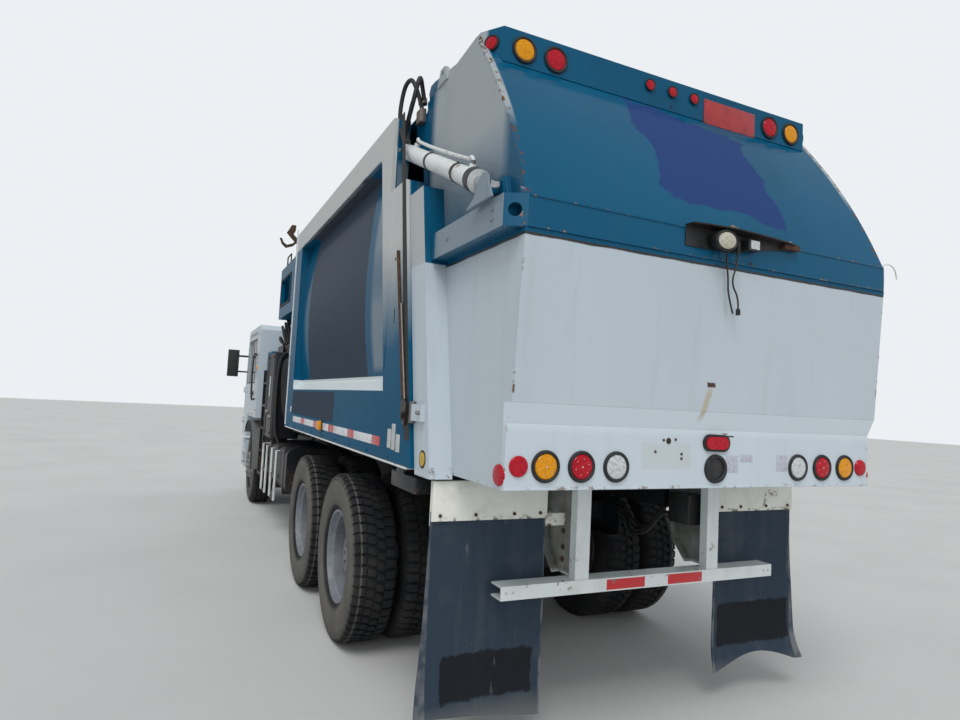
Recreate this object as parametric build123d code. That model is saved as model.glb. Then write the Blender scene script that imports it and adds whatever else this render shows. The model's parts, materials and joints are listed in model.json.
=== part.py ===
from build123d import *
from math import atan2, cos, degrees, hypot, pi, radians, sin, tan
import os

os.makedirs("parts", exist_ok=True)

# Side-loading refuse truck on a low cab-over chassis with a tandem of twin wheels.
# Millimetres. X forward, Y left, Z up, origin on the ground under the middle of the length.

# Overall stations along X
overall_length = 9340
rear_overhang = 2940
front_overhang = 1360
rear_x = -overall_length / 2
front_x = overall_length / 2
tandem_x = rear_x + rear_overhang
steer_x = front_x - front_overhang
tandem_spacing = 1310
wheelbase = steer_x - tandem_x
cab_front_x = front_x - 130
cab_rear_x = cab_front_x - 1640

# Wheels
tyre_radius = 540
tyre_width = 290
rim_radius = 298
rim_width = 230
rim_wall = 9
disc_wall = 14
disc_bore = 95
hand_holes = 10
dual_spacing = 335
drive_track = 1855
steer_track = 2090
hub_radius = 120
brake_radius = 200
seat_gap = 0.3
pin_play = 0.1
move_gap = 6

# Frame of the chassis
rail_top_z = 1050
rail_height = 270
rail_flange = 85
rail_wall = 10
rail_outer_y = 430
rail_rear_x = tandem_x - 1530
rail_front_x = front_x - 270

# Load body
body_half = 1219
post_depth = 100
sill_z = 1270
sill_rail_height = 370
roof_edge_z = 3240
roof_crown = 55
top_rail_height = 190
seam_lean = 0.214
seam_top_x = tandem_x - 1608
body_front_x = tandem_x + 0.371 * wheelbase
rear_post_width = 440
front_post_width = 360
sheet = 8
floor_plate = 30
cross_sill_height = 120
long_sill_height = sill_z - rail_top_z - cross_sill_height
panel_bulge = 70
panel_inset = 104
ledge_rise = 85
body_wall = body_half - post_depth

# Hopper and packer
hopper_front_x = cab_rear_x - 750
hopper_wall = 40
bay_wall_y = 459 - body_half
bay_rear_x = body_front_x + 560
hopper_left_y = body_half - 340
hopper_side_z = 2500
hopper_right_z = 2250
guard_top_z = 3040
guard_front_x = body_front_x + 1010
guard_window_low_z = 2610
guard_window_high_z = 2890
packer_length = 480
packer_height = 760
packer_plate = 25

# Tailgate
tail_gap = 12
tail_side_y = body_half - 132
column_out_y = body_half - 19
column_width = 200
column_top_z = 2690
column_bottom_z = 1245
tail_bottom_z = 1265
apron_x = tandem_x - 2753
crease_z = 1528
panel_low_x = tandem_x - 2790
panel_low_z = 1615
panel_top_x = tandem_x - 2834
panel_top_z = 2276
belt_x = tandem_x - 2838
belt_low_z = 2294
belt_high_z = 2425
belt_out_y = body_half - 54
belt_face_half = body_half - 140
belt_wall = 10
arc_mid_x = tandem_x - 2621
arc_mid_z = 2842
lid_rear_x = tandem_x - 2262
lid_rear_z = 3345
bar_x = tandem_x - 2392
bar_low_z = 3190
bar_high_z = 3357
bar_half = body_half - 214
hinge_x = tandem_x - 1625
hinge_z = 3345
hinge_y = body_half - 159
hinge_pin_radius = 22
hinge_eye_radius = 46

# Tail cylinder: body pivot and tail lug at rest
anchor_x = tandem_x - 1520
anchor_z = 3015
lug_x = tandem_x - 2652
lug_z = 2487
cylinder_y = body_half - 64
barrel_radius = 45
anchor_pin_radius = 24
notch_y = body_half - 127
notch_low_z = 2790
rod_radius = 25
eye_radius = 42
eye_width = 40

# Cab
cab_half = body_half - 9
cab_wall = 50
cab_floor_z = 1230
cab_low_z = 900
cab_roof_z = 2560
cab_step_x = cab_front_x - 550
cab_pivot_x = cab_front_x - 100
cab_pivot_z = 980
cab_pivot_radius = 30
door_hinge_x = cab_front_x - 135
door_hinge_y = cab_half + 25
door_pin_radius = 8

# Lift arm on the right side
arm_x = (bay_rear_x + hopper_front_x) / 2 - 75
slide_offset_x = 250
slide_outer = 160
slide_wall = 10
slide_play = 5
slide_inner_y = 420
slide_end_y = 139 - body_half
arm_plate_y = 109 - body_half
arm_plate = 20
arm_plane_y = 51 - body_half
shoulder_z = 1650
boom_width = 250
boom_depth = 94
boom_reach = 900
finger_length = 620
finger_pin_x = 160
finger_height = 130
finger_depth = 44


def box(x0, x1, y0, y1, z0, z1):
    return Pos((x0 + x1) / 2, (y0 + y1) / 2, (z0 + z1) / 2) * Box(abs(x1 - x0), abs(y1 - y0), abs(z1 - z0))


def rod_y(x, z, radius, y0, y1):
    return Pos(x, (y0 + y1) / 2, z) * Rot(90, 0, 0) * Cylinder(radius, abs(y1 - y0))


def rod_x(y, z, radius, x0, x1):
    return Pos((x0 + x1) / 2, y, z) * Rot(0, 90, 0) * Cylinder(radius, abs(x1 - x0))


def rod_z(x, y, radius, z0, z1):
    return Pos(x, y, (z0 + z1) / 2) * Cylinder(radius, abs(z1 - z0))


def plate_xz(points, y0, y1):
    """A plate cut to an outline of (x, z) points, from y0 to y1."""
    face = make_face(Polyline([(x, y0, z) for x, z in points], close=True))
    return extrude(face, amount=y1 - y0, dir=(0, 1, 0))


def plate_yz(points, x0, x1):
    """A plate cut to an outline of (y, z) points, from x0 to x1."""
    face = make_face(Polyline([(x0, y, z) for y, z in points], close=True))
    return extrude(face, amount=x1 - x0, dir=(1, 0, 0))


def plate_xy(points, z0, z1):
    """A plate cut to an outline of (x, y) points, from z0 to z1."""
    face = make_face(Polyline([(x, y, z0) for x, y in points], close=True))
    return extrude(face, amount=z1 - z0, dir=(0, 0, 1))


def both_sides(solid):
    """The left-hand solid and its copy on the right."""
    return [solid, mirror(solid, Plane.XZ)]


def seam_x(z):
    """The rear face of the load body leans: its foot is further back than its top."""
    return seam_top_x - seam_lean * (roof_edge_z - z)


def leaning_band(z0, z1, front, rear):
    """Outline between two lines parallel to the seam, given as distances behind it."""
    return [(seam_x(z0) - front, z0), (seam_x(z1) - front, z1), (seam_x(z1) - rear, z1), (seam_x(z0) - rear, z0)]


def solids_of(items):
    found = []
    for item in items:
        found += item.solids()
    return found


def save(node, items):
    solids = solids_of(items)
    export_step(Compound(children=solids), f"parts/{node}.step")
    print(f"{node:26s} solids {len(solids):3d}")


# Chassis

def frame_rails():
    web = box(rail_rear_x, rail_front_x, rail_outer_y - rail_wall, rail_outer_y, rail_top_z - rail_height, rail_top_z)
    top = box(rail_rear_x, rail_front_x, rail_outer_y - rail_flange, rail_outer_y, rail_top_z - rail_wall, rail_top_z)
    foot = Pos(0, 0, rail_wall - rail_height) * top
    rail = web + top + foot
    frame = rail + mirror(rail, Plane.XZ)
    inner = rail_outer_y - rail_wall
    member_top = rail_top_z - rail_wall
    for x in (tandem_x - 1300, tandem_x, tandem_x + 1480, bay_rear_x, hopper_front_x - 250,
              cab_rear_x - 250, rail_front_x - 80):
        frame += box(x - 45, x + 45, -inner, inner, member_top - 180, member_top - 60)
    pivot = rod_y(cab_pivot_x, cab_pivot_z, cab_pivot_radius, -inner, inner)
    arm = box(rail_front_x - 60, cab_pivot_x, inner - rail_wall, inner, cab_pivot_z - 40, cab_pivot_z + 40)
    return [frame + pivot + arm + mirror(arm, Plane.XZ)]


drive_axles = [tandem_x - tandem_spacing / 2, tandem_x + tandem_spacing / 2]
dual_inner_y = drive_track / 2 - dual_spacing / 2
dual_outer_y = drive_track / 2 + dual_spacing / 2
spindle_radius = 55
kingpin_y = steer_track / 2 - 190
kingpin_radius = 24
axle_nose = 330
shaft_front_x = steer_x - 460


def axle_beams():
    solids = []
    spindle_end = dual_outer_y
    for x in drive_axles:
        tube = rod_y(x, tyre_radius, 75, -dual_inner_y + 150, dual_inner_y - 150)
        tube += rod_y(x, tyre_radius, spindle_radius, -spindle_end, spindle_end)
        tube += Pos(x, 0, tyre_radius) * Sphere(210)
        tube += rod_x(0, tyre_radius, 90, x, x + axle_nose)
        solids.append(tube)
    beam_z = tyre_radius - 90
    fork = kingpin_y - 62
    beam = box(steer_x - 50, steer_x + 50, -fork, fork, beam_z - 60, beam_z + 40)
    beam -= box(steer_x + 15, steer_x + 50, -fork + 120, fork - 120, beam_z - 40, beam_z + 20)
    beam -= box(steer_x - 50, steer_x - 15, -fork + 120, fork - 120, beam_z - 40, beam_z + 20)
    for side in (1, -1):
        beam += rod_z(steer_x, side * kingpin_y, 48, tyre_radius - 70, tyre_radius + 70)
        beam += box(steer_x - 50, steer_x + 50, side * (fork - 90), side * fork, beam_z - 60, tyre_radius + 60)
        beam += box(steer_x - 40, steer_x + 40, side * fork, side * kingpin_y, tyre_radius - 60, tyre_radius + 60)
        beam -= rod_z(steer_x, side * kingpin_y, kingpin_radius + pin_play, beam_z - 100, tyre_radius + 120)
    solids.append(beam)
    return solids


def springs():
    """Leaf packs of the steer axle and the walking beams of the tandem."""
    found = []
    leaf_y = rail_outer_y - 42
    rail_foot = rail_top_z - rail_height
    beam_top = tyre_radius - 90 + 40
    pack = box(steer_x - 80, steer_x + 80, leaf_y - 40, leaf_y + 40, beam_top, beam_top + 50)
    arc = ThreePointArc((steer_x - 620, leaf_y - 40, rail_foot - 60), (steer_x, leaf_y - 40, beam_top + 50),
                        (steer_x + 620, leaf_y - 40, rail_foot - 60))
    top = ThreePointArc((steer_x + 620, leaf_y - 40, rail_foot - 30), (steer_x, leaf_y - 40, beam_top + 95),
                        (steer_x - 620, leaf_y - 40, rail_foot - 30))
    ends = [Line(arc @ 1, top @ 0), Line(top @ 1, arc @ 0)]
    spring = extrude(make_face([arc, ends[0], top, ends[1]]), amount=80, dir=(0, 1, 0))
    for x in (steer_x - 620, steer_x + 620):
        spring += box(x - 35, x + 35, leaf_y - 40, leaf_y + 40, rail_foot - 75, rail_foot)
    found += both_sides(spring + pack)
    walk_y = rail_outer_y - 20
    beam = plate_xz([(drive_axles[0] - 90, tyre_radius - 150), (drive_axles[0] - 90, tyre_radius - 75),
                     (drive_axles[0] + 90, tyre_radius - 75), (tandem_x - 160, tyre_radius - 20),
                     (tandem_x + 160, tyre_radius - 20), (drive_axles[1] - 90, tyre_radius - 75),
                     (drive_axles[1] + 90, tyre_radius - 75), (drive_axles[1] + 90, tyre_radius - 150),
                     (tandem_x, tyre_radius - 190)], walk_y - 50, walk_y + 50)
    saddle = plate_xz([(tandem_x - 90, tyre_radius - 20), (tandem_x - 230, rail_foot), (tandem_x + 230, rail_foot),
                       (tandem_x + 90, tyre_radius - 20)], walk_y - 40, walk_y + 20)
    found += both_sides(beam + saddle)
    return found


def driveshaft():
    z = tyre_radius + 60
    start = drive_axles[1] + axle_nose
    shaft = rod_x(0, z, 55, start, shaft_front_x)
    shaft += rod_x(0, z, 85, start, start + 60)
    shaft += rod_x(0, z, 85, shaft_front_x - 60, shaft_front_x)
    return [shaft]


def engine_block():
    rear = shaft_front_x + 50
    front = rear + 1050
    block = box(rear, front, -270, 270, 560, 1180)
    block += rod_x(0, tyre_radius + 60, 90, shaft_front_x, rear)
    web = rail_outer_y - rail_wall
    for x in (rear + 150, front - 150):
        block += box(x - 50, x + 50, -web, web, 800, 870)
    block += box(front, front + 230, -300, 300, 640, 1060)
    return [block]


def side_tanks():
    rear, front = tandem_x + 0.4266 * wheelbase, steer_x - 1530
    inner = rail_outer_y + 90
    tank = box(rear, front, inner, body_half - 89, 520, 1010)
    tank = fillet(tank.edges().filter_by(Axis.X), 90)
    for x in (rear + 280, front - 280):
        tank += box(x - 30, x + 30, rail_outer_y, inner + 40, 700, 900)
    battery_x = steer_x - 720
    battery = box(battery_x - 340, battery_x, 119 - body_half, -inner, 560, 960)
    battery += box(battery_x - 210, battery_x - 110, -inner, -rail_outer_y, 700, 900)
    return [tank, battery]


def hydraulic_tank():
    rear, front = hopper_front_x + 80, cab_rear_x - 140
    body = box(rear, front, rail_outer_y + 50, body_half - 99, 1250, 2150)
    body = fillet(body.edges().filter_by(Axis.Z), 60)
    body += rod_z((rear + front) / 2, rail_outer_y + 370, 60, 2150, 2200)
    body += box(rear + 70, front - 60, rail_outer_y - 70, rail_outer_y + 130, rail_top_z, 1250)
    return [body]


def access_ladder():
    rear, out = hopper_front_x + 90, body_half - 54
    post = box(rear, rear + 35, out - 35, out, 480, 1900)
    ladder = post + Pos(345, 0, 0) * post
    for z in (520, 820, 1120, 1420, 1720):
        ladder += box(rear, rear + 380, out - 40, out, z - 15, z + 15)
    for x in (rear + 60, rear + 300):
        ladder += box(x, x + 40, out - 55, out - 25, 1300, 1700)
    return [ladder - hydraulic_tank()[0]]


def exhaust_stack():
    x, y = cab_rear_x - 160, 319 - body_half
    stack = rod_z(x, y, 95, 1300, 2300)
    stack += rod_z(x, y, 55, 2300, 2950)
    stack += box(x - 50, x + 50, y, 60 - rail_outer_y, 1200, 1300)
    stack += box(x - 50, x + 50, -rail_outer_y, 60 - rail_outer_y, rail_top_z, 1200)
    return [stack]


bumper_x = front_x - 90
bumper_half = body_half - 19
bumper_low_z = 430
bumper_high_z = 840
tow_hole_radius = 19
tow_plate = 25
tow_y = 380
tow_x = front_x - 45
tow_z = 560


def front_bumper():
    beam = box(bumper_x - 80, bumper_x, -bumper_half, bumper_half, bumper_low_z, bumper_high_z)
    beam = fillet(beam.edges().filter_by(Axis.Z), 35)
    hollow = bumper_half - 50
    beam -= box(bumper_x - 80, bumper_x - 20, -hollow, hollow, bumper_low_z + 30, bumper_high_z - 30)
    rear, front = cab_step_x + 10, bumper_x - 60
    out, well = bumper_half, bumper_half - 300
    for side in (1, -1):
        y0, y1 = side * (rail_outer_y - 120), side * (rail_outer_y - rail_wall)
        beam += box(rail_front_x, bumper_x - 20, y0, y1, rail_top_z - rail_height, bumper_high_z - 30)
        corner = box(rear, front, side * (out - 160), side * out, bumper_low_z, bumper_low_z + 40)
        corner += box(rear, front, side * well, side * out, 640, 680)
        corner += box(rear, front, side * (well - 20), side * (well + 20), bumper_low_z, bumper_high_z)
        corner += box(rear, rear + 30, side * (well - 20), side * out, bumper_low_z, bumper_high_z)
        corner += box(rear, front - 20, side * rail_outer_y, side * well, 780, 835)
        beam += corner
        plate = box(bumper_x - 40, front_x, side * tow_y, side * (tow_y + tow_plate), tow_z - 45, tow_z + 45)
        plate = fillet(plate.edges().filter_by(Axis.Y).group_by(Axis.X)[-1], 40)
        beam += plate - rod_y(tow_x, tow_z, tow_hole_radius, side * tow_y - 60, side * tow_y + 60)
    return [beam]


fender_radius = 640
fender_sheet = 12


def front_fenders():
    inner, outer = steer_track / 2 - 165, steer_track / 2 + 205
    ring = rod_y(steer_x, tyre_radius, fender_radius, inner, outer)
    ring -= rod_y(steer_x, tyre_radius, fender_radius - fender_sheet, inner, outer)
    keep = plate_xz([(steer_x, tyre_radius), (steer_x - 800, tyre_radius), (steer_x - 800, 1400),
                     (steer_x + 560, 1400), (steer_x + 560, tyre_radius + 560)], inner - 10, outer + 10)
    fender = ring & keep
    x = steer_x - fender_radius
    fender += box(x - 35, x + 1, rail_outer_y, inner + 120, tyre_radius + 10, tyre_radius + 70)
    fender += box(x - 35, x + 1, rail_outer_y, rail_outer_y + 20, tyre_radius + 10, rail_top_z - 40)
    return both_sides(fender)


# Wheels

def tyre():
    """A tyre: round shoulders, flat tread, bead on the rim."""
    half = tyre_width / 2
    r = tyre_radius
    bead = rim_radius + 4
    section = [(bead, -half + 40), (bead + 60, -half + 4), (r - 110, -half), (r - 30, -half + 14), (r, -half + 34),
               (r, half - 34), (r - 30, half - 14), (r - 110, half), (bead + 60, half - 4), (bead, half - 40)]
    return section


def ring_of(section, x, y, z):
    """Turn a section of (radius, offset along Y) points about the wheel's axle."""
    face = make_face(Polyline([(r, 0, o) for r, o in section], close=True))
    return Pos(x, y, z) * Rot(90, 0, 0) * revolve(face, Axis.Z)


def rim_section():
    """A well rim, as (radius, offset) points."""
    half = rim_width / 2
    r = rim_radius
    return [(r + 3, -half), (r + 3, -half + 18), (r - 22, -half + 34), (r - 22, half - 34), (r + 3, half - 18),
            (r + 3, half), (r - 12, half), (r - 12 - rim_wall, half - 30), (r - 22 - rim_wall, half - 44),
            (r - 22 - rim_wall, -half + 44), (r - 12 - rim_wall, -half + 30), (r - 12, -half)]


def wheel_disc(x, mount_y, inward):
    """A dished disc from its mounting face to the well of its rim; inward gives the way to the rim."""
    well = rim_radius - 22 - rim_wall + 2
    reach = 102
    section = [(disc_bore, 0), (disc_bore, disc_wall), (162, disc_wall), (246, reach + disc_wall), (well, reach + disc_wall),
               (well, reach - 4), (252, reach - 4), (170, 0)]
    disc = ring_of([(r, -inward * o) for r, o in section], x, mount_y, tyre_radius)
    for k in range(hand_holes):
        a = 2 * pi * k / hand_holes
        disc -= rod_y(x + 212 * cos(a), tyre_radius + 212 * sin(a), 24, mount_y - inward * 10, mount_y + inward * 120)
    return disc


def dual_tyres(x, side):
    return [ring_of(tyre(), x, side * y, tyre_radius) for y in (dual_inner_y, dual_outer_y)]


def dual_rims(x, side):
    outer = ring_of(rim_section(), x, side * dual_outer_y, tyre_radius)
    inner = ring_of(rim_section(), x, side * dual_inner_y, tyre_radius)
    middle = side * drive_track / 2
    outer += wheel_disc(x, middle, side)
    inner += wheel_disc(x, middle, -side)
    hub = rod_y(x, tyre_radius, hub_radius, middle - side * 120, middle + side * 210)
    hub += rod_y(x, tyre_radius, 170, middle - side * 14, middle + side * 40)
    hub += rod_y(x, tyre_radius, brake_radius, middle - side * 120, middle - side * 280)
    hub -= rod_y(x, tyre_radius, spindle_radius + pin_play, middle - side * 300, dual_outer_y * side + side * 5)
    return [outer + inner + hub]


def steer_tyre(side):
    return [ring_of(tyre(), steer_x, side * steer_track / 2, tyre_radius)]


def steer_rim(side):
    y = side * steer_track / 2
    rim = ring_of(rim_section(), steer_x, y, tyre_radius)
    face = y + side * dual_spacing / 2
    rim += wheel_disc(steer_x, face, -side)
    hub = rod_y(steer_x, tyre_radius, 105, y - side * 60, face + side * 5)
    hub += rod_y(steer_x, tyre_radius, 150, face - side * 30, face)
    hub -= rod_y(steer_x, tyre_radius, 40 + pin_play, y - side * 70, y + side * 60)
    return [rim + hub]


def knuckle(side):
    y = side * kingpin_y
    pin = rod_z(steer_x, y, kingpin_radius, tyre_radius - 120, tyre_radius + 120)
    for z in (tyre_radius - 140, tyre_radius + 80):
        pin += rod_z(steer_x, y, 50, z, z + 60)
        pin += box(steer_x - 50, steer_x + 50, y, y + side * 95, z, z + 60)
    pin += box(steer_x - 55, steer_x + 55, y + side * 60, y + side * 95, tyre_radius - 140, tyre_radius + 140)
    pin += rod_y(steer_x, tyre_radius, 40, y + side * 60, side * (steer_track / 2 + 55))
    pin += rod_y(steer_x, tyre_radius, 150, y + side * 95, y + side * 120)
    return [pin]


# Load body

def body_floor():
    rear = seam_x(sill_z)
    floor = box(rear, hopper_front_x, -body_wall, body_wall, sill_z, sill_z + floor_plate)
    floor -= box(bay_rear_x, hopper_front_x, -body_wall, bay_wall_y - hopper_wall, sill_z, sill_z + floor_plate)
    left = hopper_left_y - hopper_wall
    floor -= box(body_front_x, hopper_front_x, left, body_wall, sill_z, sill_z + floor_plate)
    under = sill_z - cross_sill_height
    sill_xs = [rear + 60 + 480 * k for k in range(9)]
    for x in sill_xs + [arm_x, hopper_front_x - 60]:
        low = -hopper_left_y if x < bay_rear_x else bay_wall_y - hopper_wall
        floor += box(x - 40, x + 40, low, hopper_left_y, under, sill_z)
    for side in (1, -1):
        y0, y1 = side * (rail_outer_y - 80), side * rail_outer_y
        floor += box(rear, arm_x - slide_offset_x - slide_outer / 2 - 20, y0, y1, rail_top_z, under)
        floor += box(arm_x - 60, arm_x + 60, y0, y1, rail_top_z, under)
        floor += box(hopper_front_x - 150, hopper_front_x, y0, y1, rail_top_z, under)
    return [floor]


def window_outline():
    """The field between posts and rails that the side sheet fills."""
    low = sill_z + sill_rail_height
    high = roof_edge_z - top_rail_height
    front = body_front_x - front_post_width
    return [(seam_x(low) + rear_post_width, low), (seam_x(high) + rear_post_width, high), (front, high), (front, low)]


def side_frame():
    """Posts and rails of the left side; the rear post leans with the seam."""
    y0, y1 = body_half - post_depth, body_half
    outline = [(seam_x(sill_z), sill_z), (seam_x(roof_edge_z), roof_edge_z), (body_front_x, roof_edge_z),
               (body_front_x, sill_z)]
    low = sill_z + sill_rail_height
    frame = plate_xz(outline, y0, y1) - plate_xz(window_outline(), y0 - 5, y1 + 5)
    ledge = plate_yz([(y0, low), (y1, low), (y0, low + ledge_rise)], seam_x(low) + rear_post_width - 60,
                     body_front_x - front_post_width + 5)
    ledge -= plate_xz(leaning_band(low, low + ledge_rise, -rear_post_width, rear_post_width), y0 - 5, y1 + 5)
    frame += ledge
    return frame


def body_frame():
    left = side_frame()
    y0 = body_half - post_depth
    frame = left + mirror(left, Plane.XZ)
    frame += plate_xz(leaning_band(roof_edge_z - 180, roof_edge_z - 25, -160, 0), -y0, y0)
    ring = plate_xz(leaning_band(sill_z + floor_plate, roof_edge_z - 180, -60, 0), y0 - 45, y0)
    frame += ring + mirror(ring, Plane.XZ)
    notch = box(seam_top_x - 300, anchor_x + 95, notch_y, body_half + 10, notch_low_z, roof_edge_z + 10)
    frame -= notch + mirror(notch, Plane.XZ)
    for side in (1, -1):
        frame += rod_y(anchor_x, anchor_z, 55, side * (notch_y - 40), side * (cylinder_y - 30 - move_gap))
        frame += rod_y(anchor_x, anchor_z, anchor_pin_radius, side * notch_y, side * (cylinder_y + eye_width / 2 + 8))
        y0, y1 = side * (hinge_y - 46), side * (hinge_y - 22)
        ear = rod_y(hinge_x, hinge_z, hinge_eye_radius, y0, y1)
        ear += plate_xz([(hinge_x, hinge_z + hinge_eye_radius), (hinge_x + 280, roof_edge_z - 10),
                         (hinge_x + 45, roof_edge_z - 30), (hinge_x + 20, hinge_z - 42)], y0, y1)
        ear -= rod_y(hinge_x, hinge_z, hinge_pin_radius + pin_play, side * (hinge_y - 80), side * hinge_y)
        frame += ear
    return [frame]


def bulged_panel():
    y = body_half - panel_inset
    low, high = sill_z + sill_rail_height - 10, roof_edge_z - top_rail_height + 20
    middle = (low + high) / 2
    x = seam_top_x - 500
    outer = ThreePointArc((x, y, low), (x, y + panel_bulge, middle), (x, y, high))
    inner = ThreePointArc((x, y - sheet, high), (x, y - sheet + panel_bulge, middle), (x, y - sheet, low))
    face = make_face([outer, Line(outer @ 1, inner @ 0), inner, Line(inner @ 1, outer @ 0)])
    panel = extrude(face, amount=body_front_x - x, dir=(1, 0, 0))
    fitted = (panel & plate_xz(window_outline(), body_half - 320, body_half + 80)) - body_frame()[0]
    return max(fitted.solids(), key=lambda piece: piece.volume)


def body_panels():
    panel = bulged_panel()
    return [panel, mirror(panel, Plane.XZ)]


def body_roof():
    edge = roof_edge_z - 20
    x = seam_top_x
    outer = ThreePointArc((x, -body_wall, edge), (x, 0, edge + roof_crown), (x, body_wall, edge))
    inner = ThreePointArc((x, body_wall, edge - sheet), (x, 0, edge + roof_crown - sheet), (x, -body_wall, edge - sheet))
    face = make_face([outer, Line(outer @ 1, inner @ 0), inner, Line(inner @ 1, outer @ 0)])
    roof = extrude(face, amount=body_front_x - x, dir=(1, 0, 0))
    return [roof - body_frame()[0]]


bulkhead_gap_z = sill_z + floor_plate + packer_height + 40


def hopper():
    """Walls round the loading hopper: set back on the left below a windowed guard, lower beside the arm."""
    floor_z = sill_z + floor_plate
    front, left = hopper_front_x, hopper_left_y
    walls = box(body_front_x, front, left - hopper_wall, left, sill_z, hopper_side_z)
    guard = box(body_front_x, guard_front_x, body_half - hopper_wall, body_half, hopper_side_z, guard_top_z)
    guard -= box(body_front_x + 275, guard_front_x - 90, body_half - 60, body_half + 5, guard_window_low_z,
                 guard_window_high_z)
    walls += guard
    walls += box(body_front_x, guard_front_x, left - hopper_wall, body_half, hopper_side_z - hopper_wall, hopper_side_z)
    walls += box(guard_front_x - hopper_wall, guard_front_x, left - hopper_wall, body_half, hopper_side_z, guard_top_z)
    walls += box(body_front_x, body_front_x + hopper_wall, left - hopper_wall, body_half, floor_z, bulkhead_gap_z)
    walls += box(front - hopper_wall, front, bay_wall_y - hopper_wall, left, floor_z, 2900)
    walls += box(bay_rear_x, front, bay_wall_y - hopper_wall, bay_wall_y, floor_z, hopper_right_z)
    walls += box(bay_rear_x - hopper_wall, bay_rear_x, -body_half, bay_wall_y, floor_z, hopper_right_z)
    walls += box(body_front_x, bay_rear_x, -body_half, -body_half + hopper_wall, sill_z, roof_edge_z)
    bulkhead = box(body_front_x, body_front_x + hopper_wall, -body_half, body_half, bulkhead_gap_z, roof_edge_z)
    walls += bulkhead
    hood = plate_xz([(body_front_x, roof_edge_z), (bay_rear_x, roof_edge_z - 40), (bay_rear_x, roof_edge_z - 80),
                     (body_front_x, roof_edge_z - 40)], -body_half, left - hopper_wall)
    return [walls + hood]


def service_tank():
    """Oil tank and valve bank standing outside the hopper's left wall."""
    inner = hopper_left_y + seat_gap
    front = hopper_front_x - 200
    rear = front - 700
    tank = box(rear, front, inner, body_half - 19, rail_top_z + 10, 2080)
    tank = fillet(tank.edges().filter_by(Axis.Z), 40)
    tank += box(rear + 140, front - 140, inner + 60, inner + 230, 2079, 2180)
    bank = box(body_front_x + 280, rear + 50, inner, inner + 160, sill_z + floor_plate, 2000)
    return [tank + bank]


def packer_blade():
    floor_z = sill_z + floor_plate + move_gap
    x1 = hopper_front_x - hopper_wall - 60
    x0 = x1 - packer_length
    y0 = bay_wall_y + move_gap
    y1 = hopper_left_y - hopper_wall - move_gap
    blade = box(x0, x1, y0, y1, floor_z, floor_z + packer_height)
    inner = box(x0 + packer_plate, x1 + 5, y0 + packer_plate, y1 - packer_plate, floor_z + packer_plate,
                floor_z + packer_height - packer_plate)
    blade -= inner
    for y in (y0 + 150, (y0 + y1) / 2, y1 - 150):
        blade += box(x0, x1, y - 40, y + 40, floor_z - move_gap + seat_gap, floor_z)
    return [blade]


hanger_x = tandem_x - 2210
hanger_y1 = body_half - 49
hanger_y0 = hanger_y1 - 610
hanger_low_z = 1030
hanger_high_z = 1235
flap_outer_z = 190
flap_inner_z = 110
flap_sheet = 10
post_plate = 12


def flap_hangers():
    plate = box(hanger_x, hanger_x + 12, hanger_y0, hanger_y1, hanger_low_z, hanger_high_z)
    arm = box(hanger_x, hanger_x + 60, rail_outer_y + post_plate + seat_gap, hanger_y0 + 200, hanger_low_z - 20,
              hanger_low_z + 40)
    return both_sides(plate + arm)


def mud_flaps():
    top = hanger_low_z + 70
    flap = plate_yz([(hanger_y0, top), (hanger_y1, top), (hanger_y1, flap_outer_z), (hanger_y0, flap_inner_z)],
                    hanger_x - flap_sheet, hanger_x)
    return both_sides(flap)


under_x = tandem_x - 2350
under_depth = 100
under_low_z = 708
under_high_z = 772
under_half = 862
post_rear_x = under_x + 8
post_front_x = under_x + 60
gusset_front_x = under_x + 330
gusset_bend_z = 880
gusset_lip = 42


def underride_bumper():
    """Channel bar on two posts, each stiffened by a bent plate with a lip along its front edge."""
    bar = box(under_x, under_x + under_depth, -under_half, under_half, under_low_z, under_high_z)
    bar -= box(under_x + 8, under_x + under_depth + 5, -under_half, under_half, under_low_z + 8, under_high_z - 8)
    edge = [(under_x + under_depth, under_high_z), (gusset_front_x - 145, under_high_z),
            (gusset_front_x - 40, gusset_bend_z), (gusset_front_x, hanger_high_z)]
    for side in (1, -1):
        y0, y1, y2, y3 = [side * (rail_outer_y + out) for out in (-50, seat_gap, post_plate, post_plate + 18)]
        post = box(post_rear_x, post_front_x, y0, y3, under_low_z + 8, hanger_high_z)
        post -= box(post_rear_x + 10, post_front_x + 5, y0 + side * 8, y1 - side * 8, under_high_z + 30,
                    hanger_high_z + 5)
        gusset = plate_xz([(post_rear_x, under_low_z + 8), (under_x + under_depth, under_low_z + 8)] + edge
                          + [(post_rear_x, hanger_high_z)], min(y1, y2), max(y1, y2))
        lip = plate_xz(edge[1:] + [(x - 9, z) for x, z in edge[:0:-1]], min(y1, y2), max(y1, y2) + gusset_lip)
        bar += post + gusset + lip
    return [bar]


def arm_rails():
    found = []
    for x in (arm_x - slide_offset_x, arm_x + slide_offset_x):
        half = slide_outer / 2
        tube = box(x - half, x + half, slide_end_y, slide_inner_y, rail_top_z, rail_top_z + slide_outer)
        tube -= box(x - half + slide_wall, x + half - slide_wall, slide_end_y - 5, slide_inner_y - 20,
                    rail_top_z + slide_wall, rail_top_z + slide_outer - slide_wall)
        found.append(tube)
    return found


# Lift arm

slide_z = rail_top_z + slide_outer / 2
slide_half = slide_outer / 2 - slide_wall - slide_play


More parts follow.
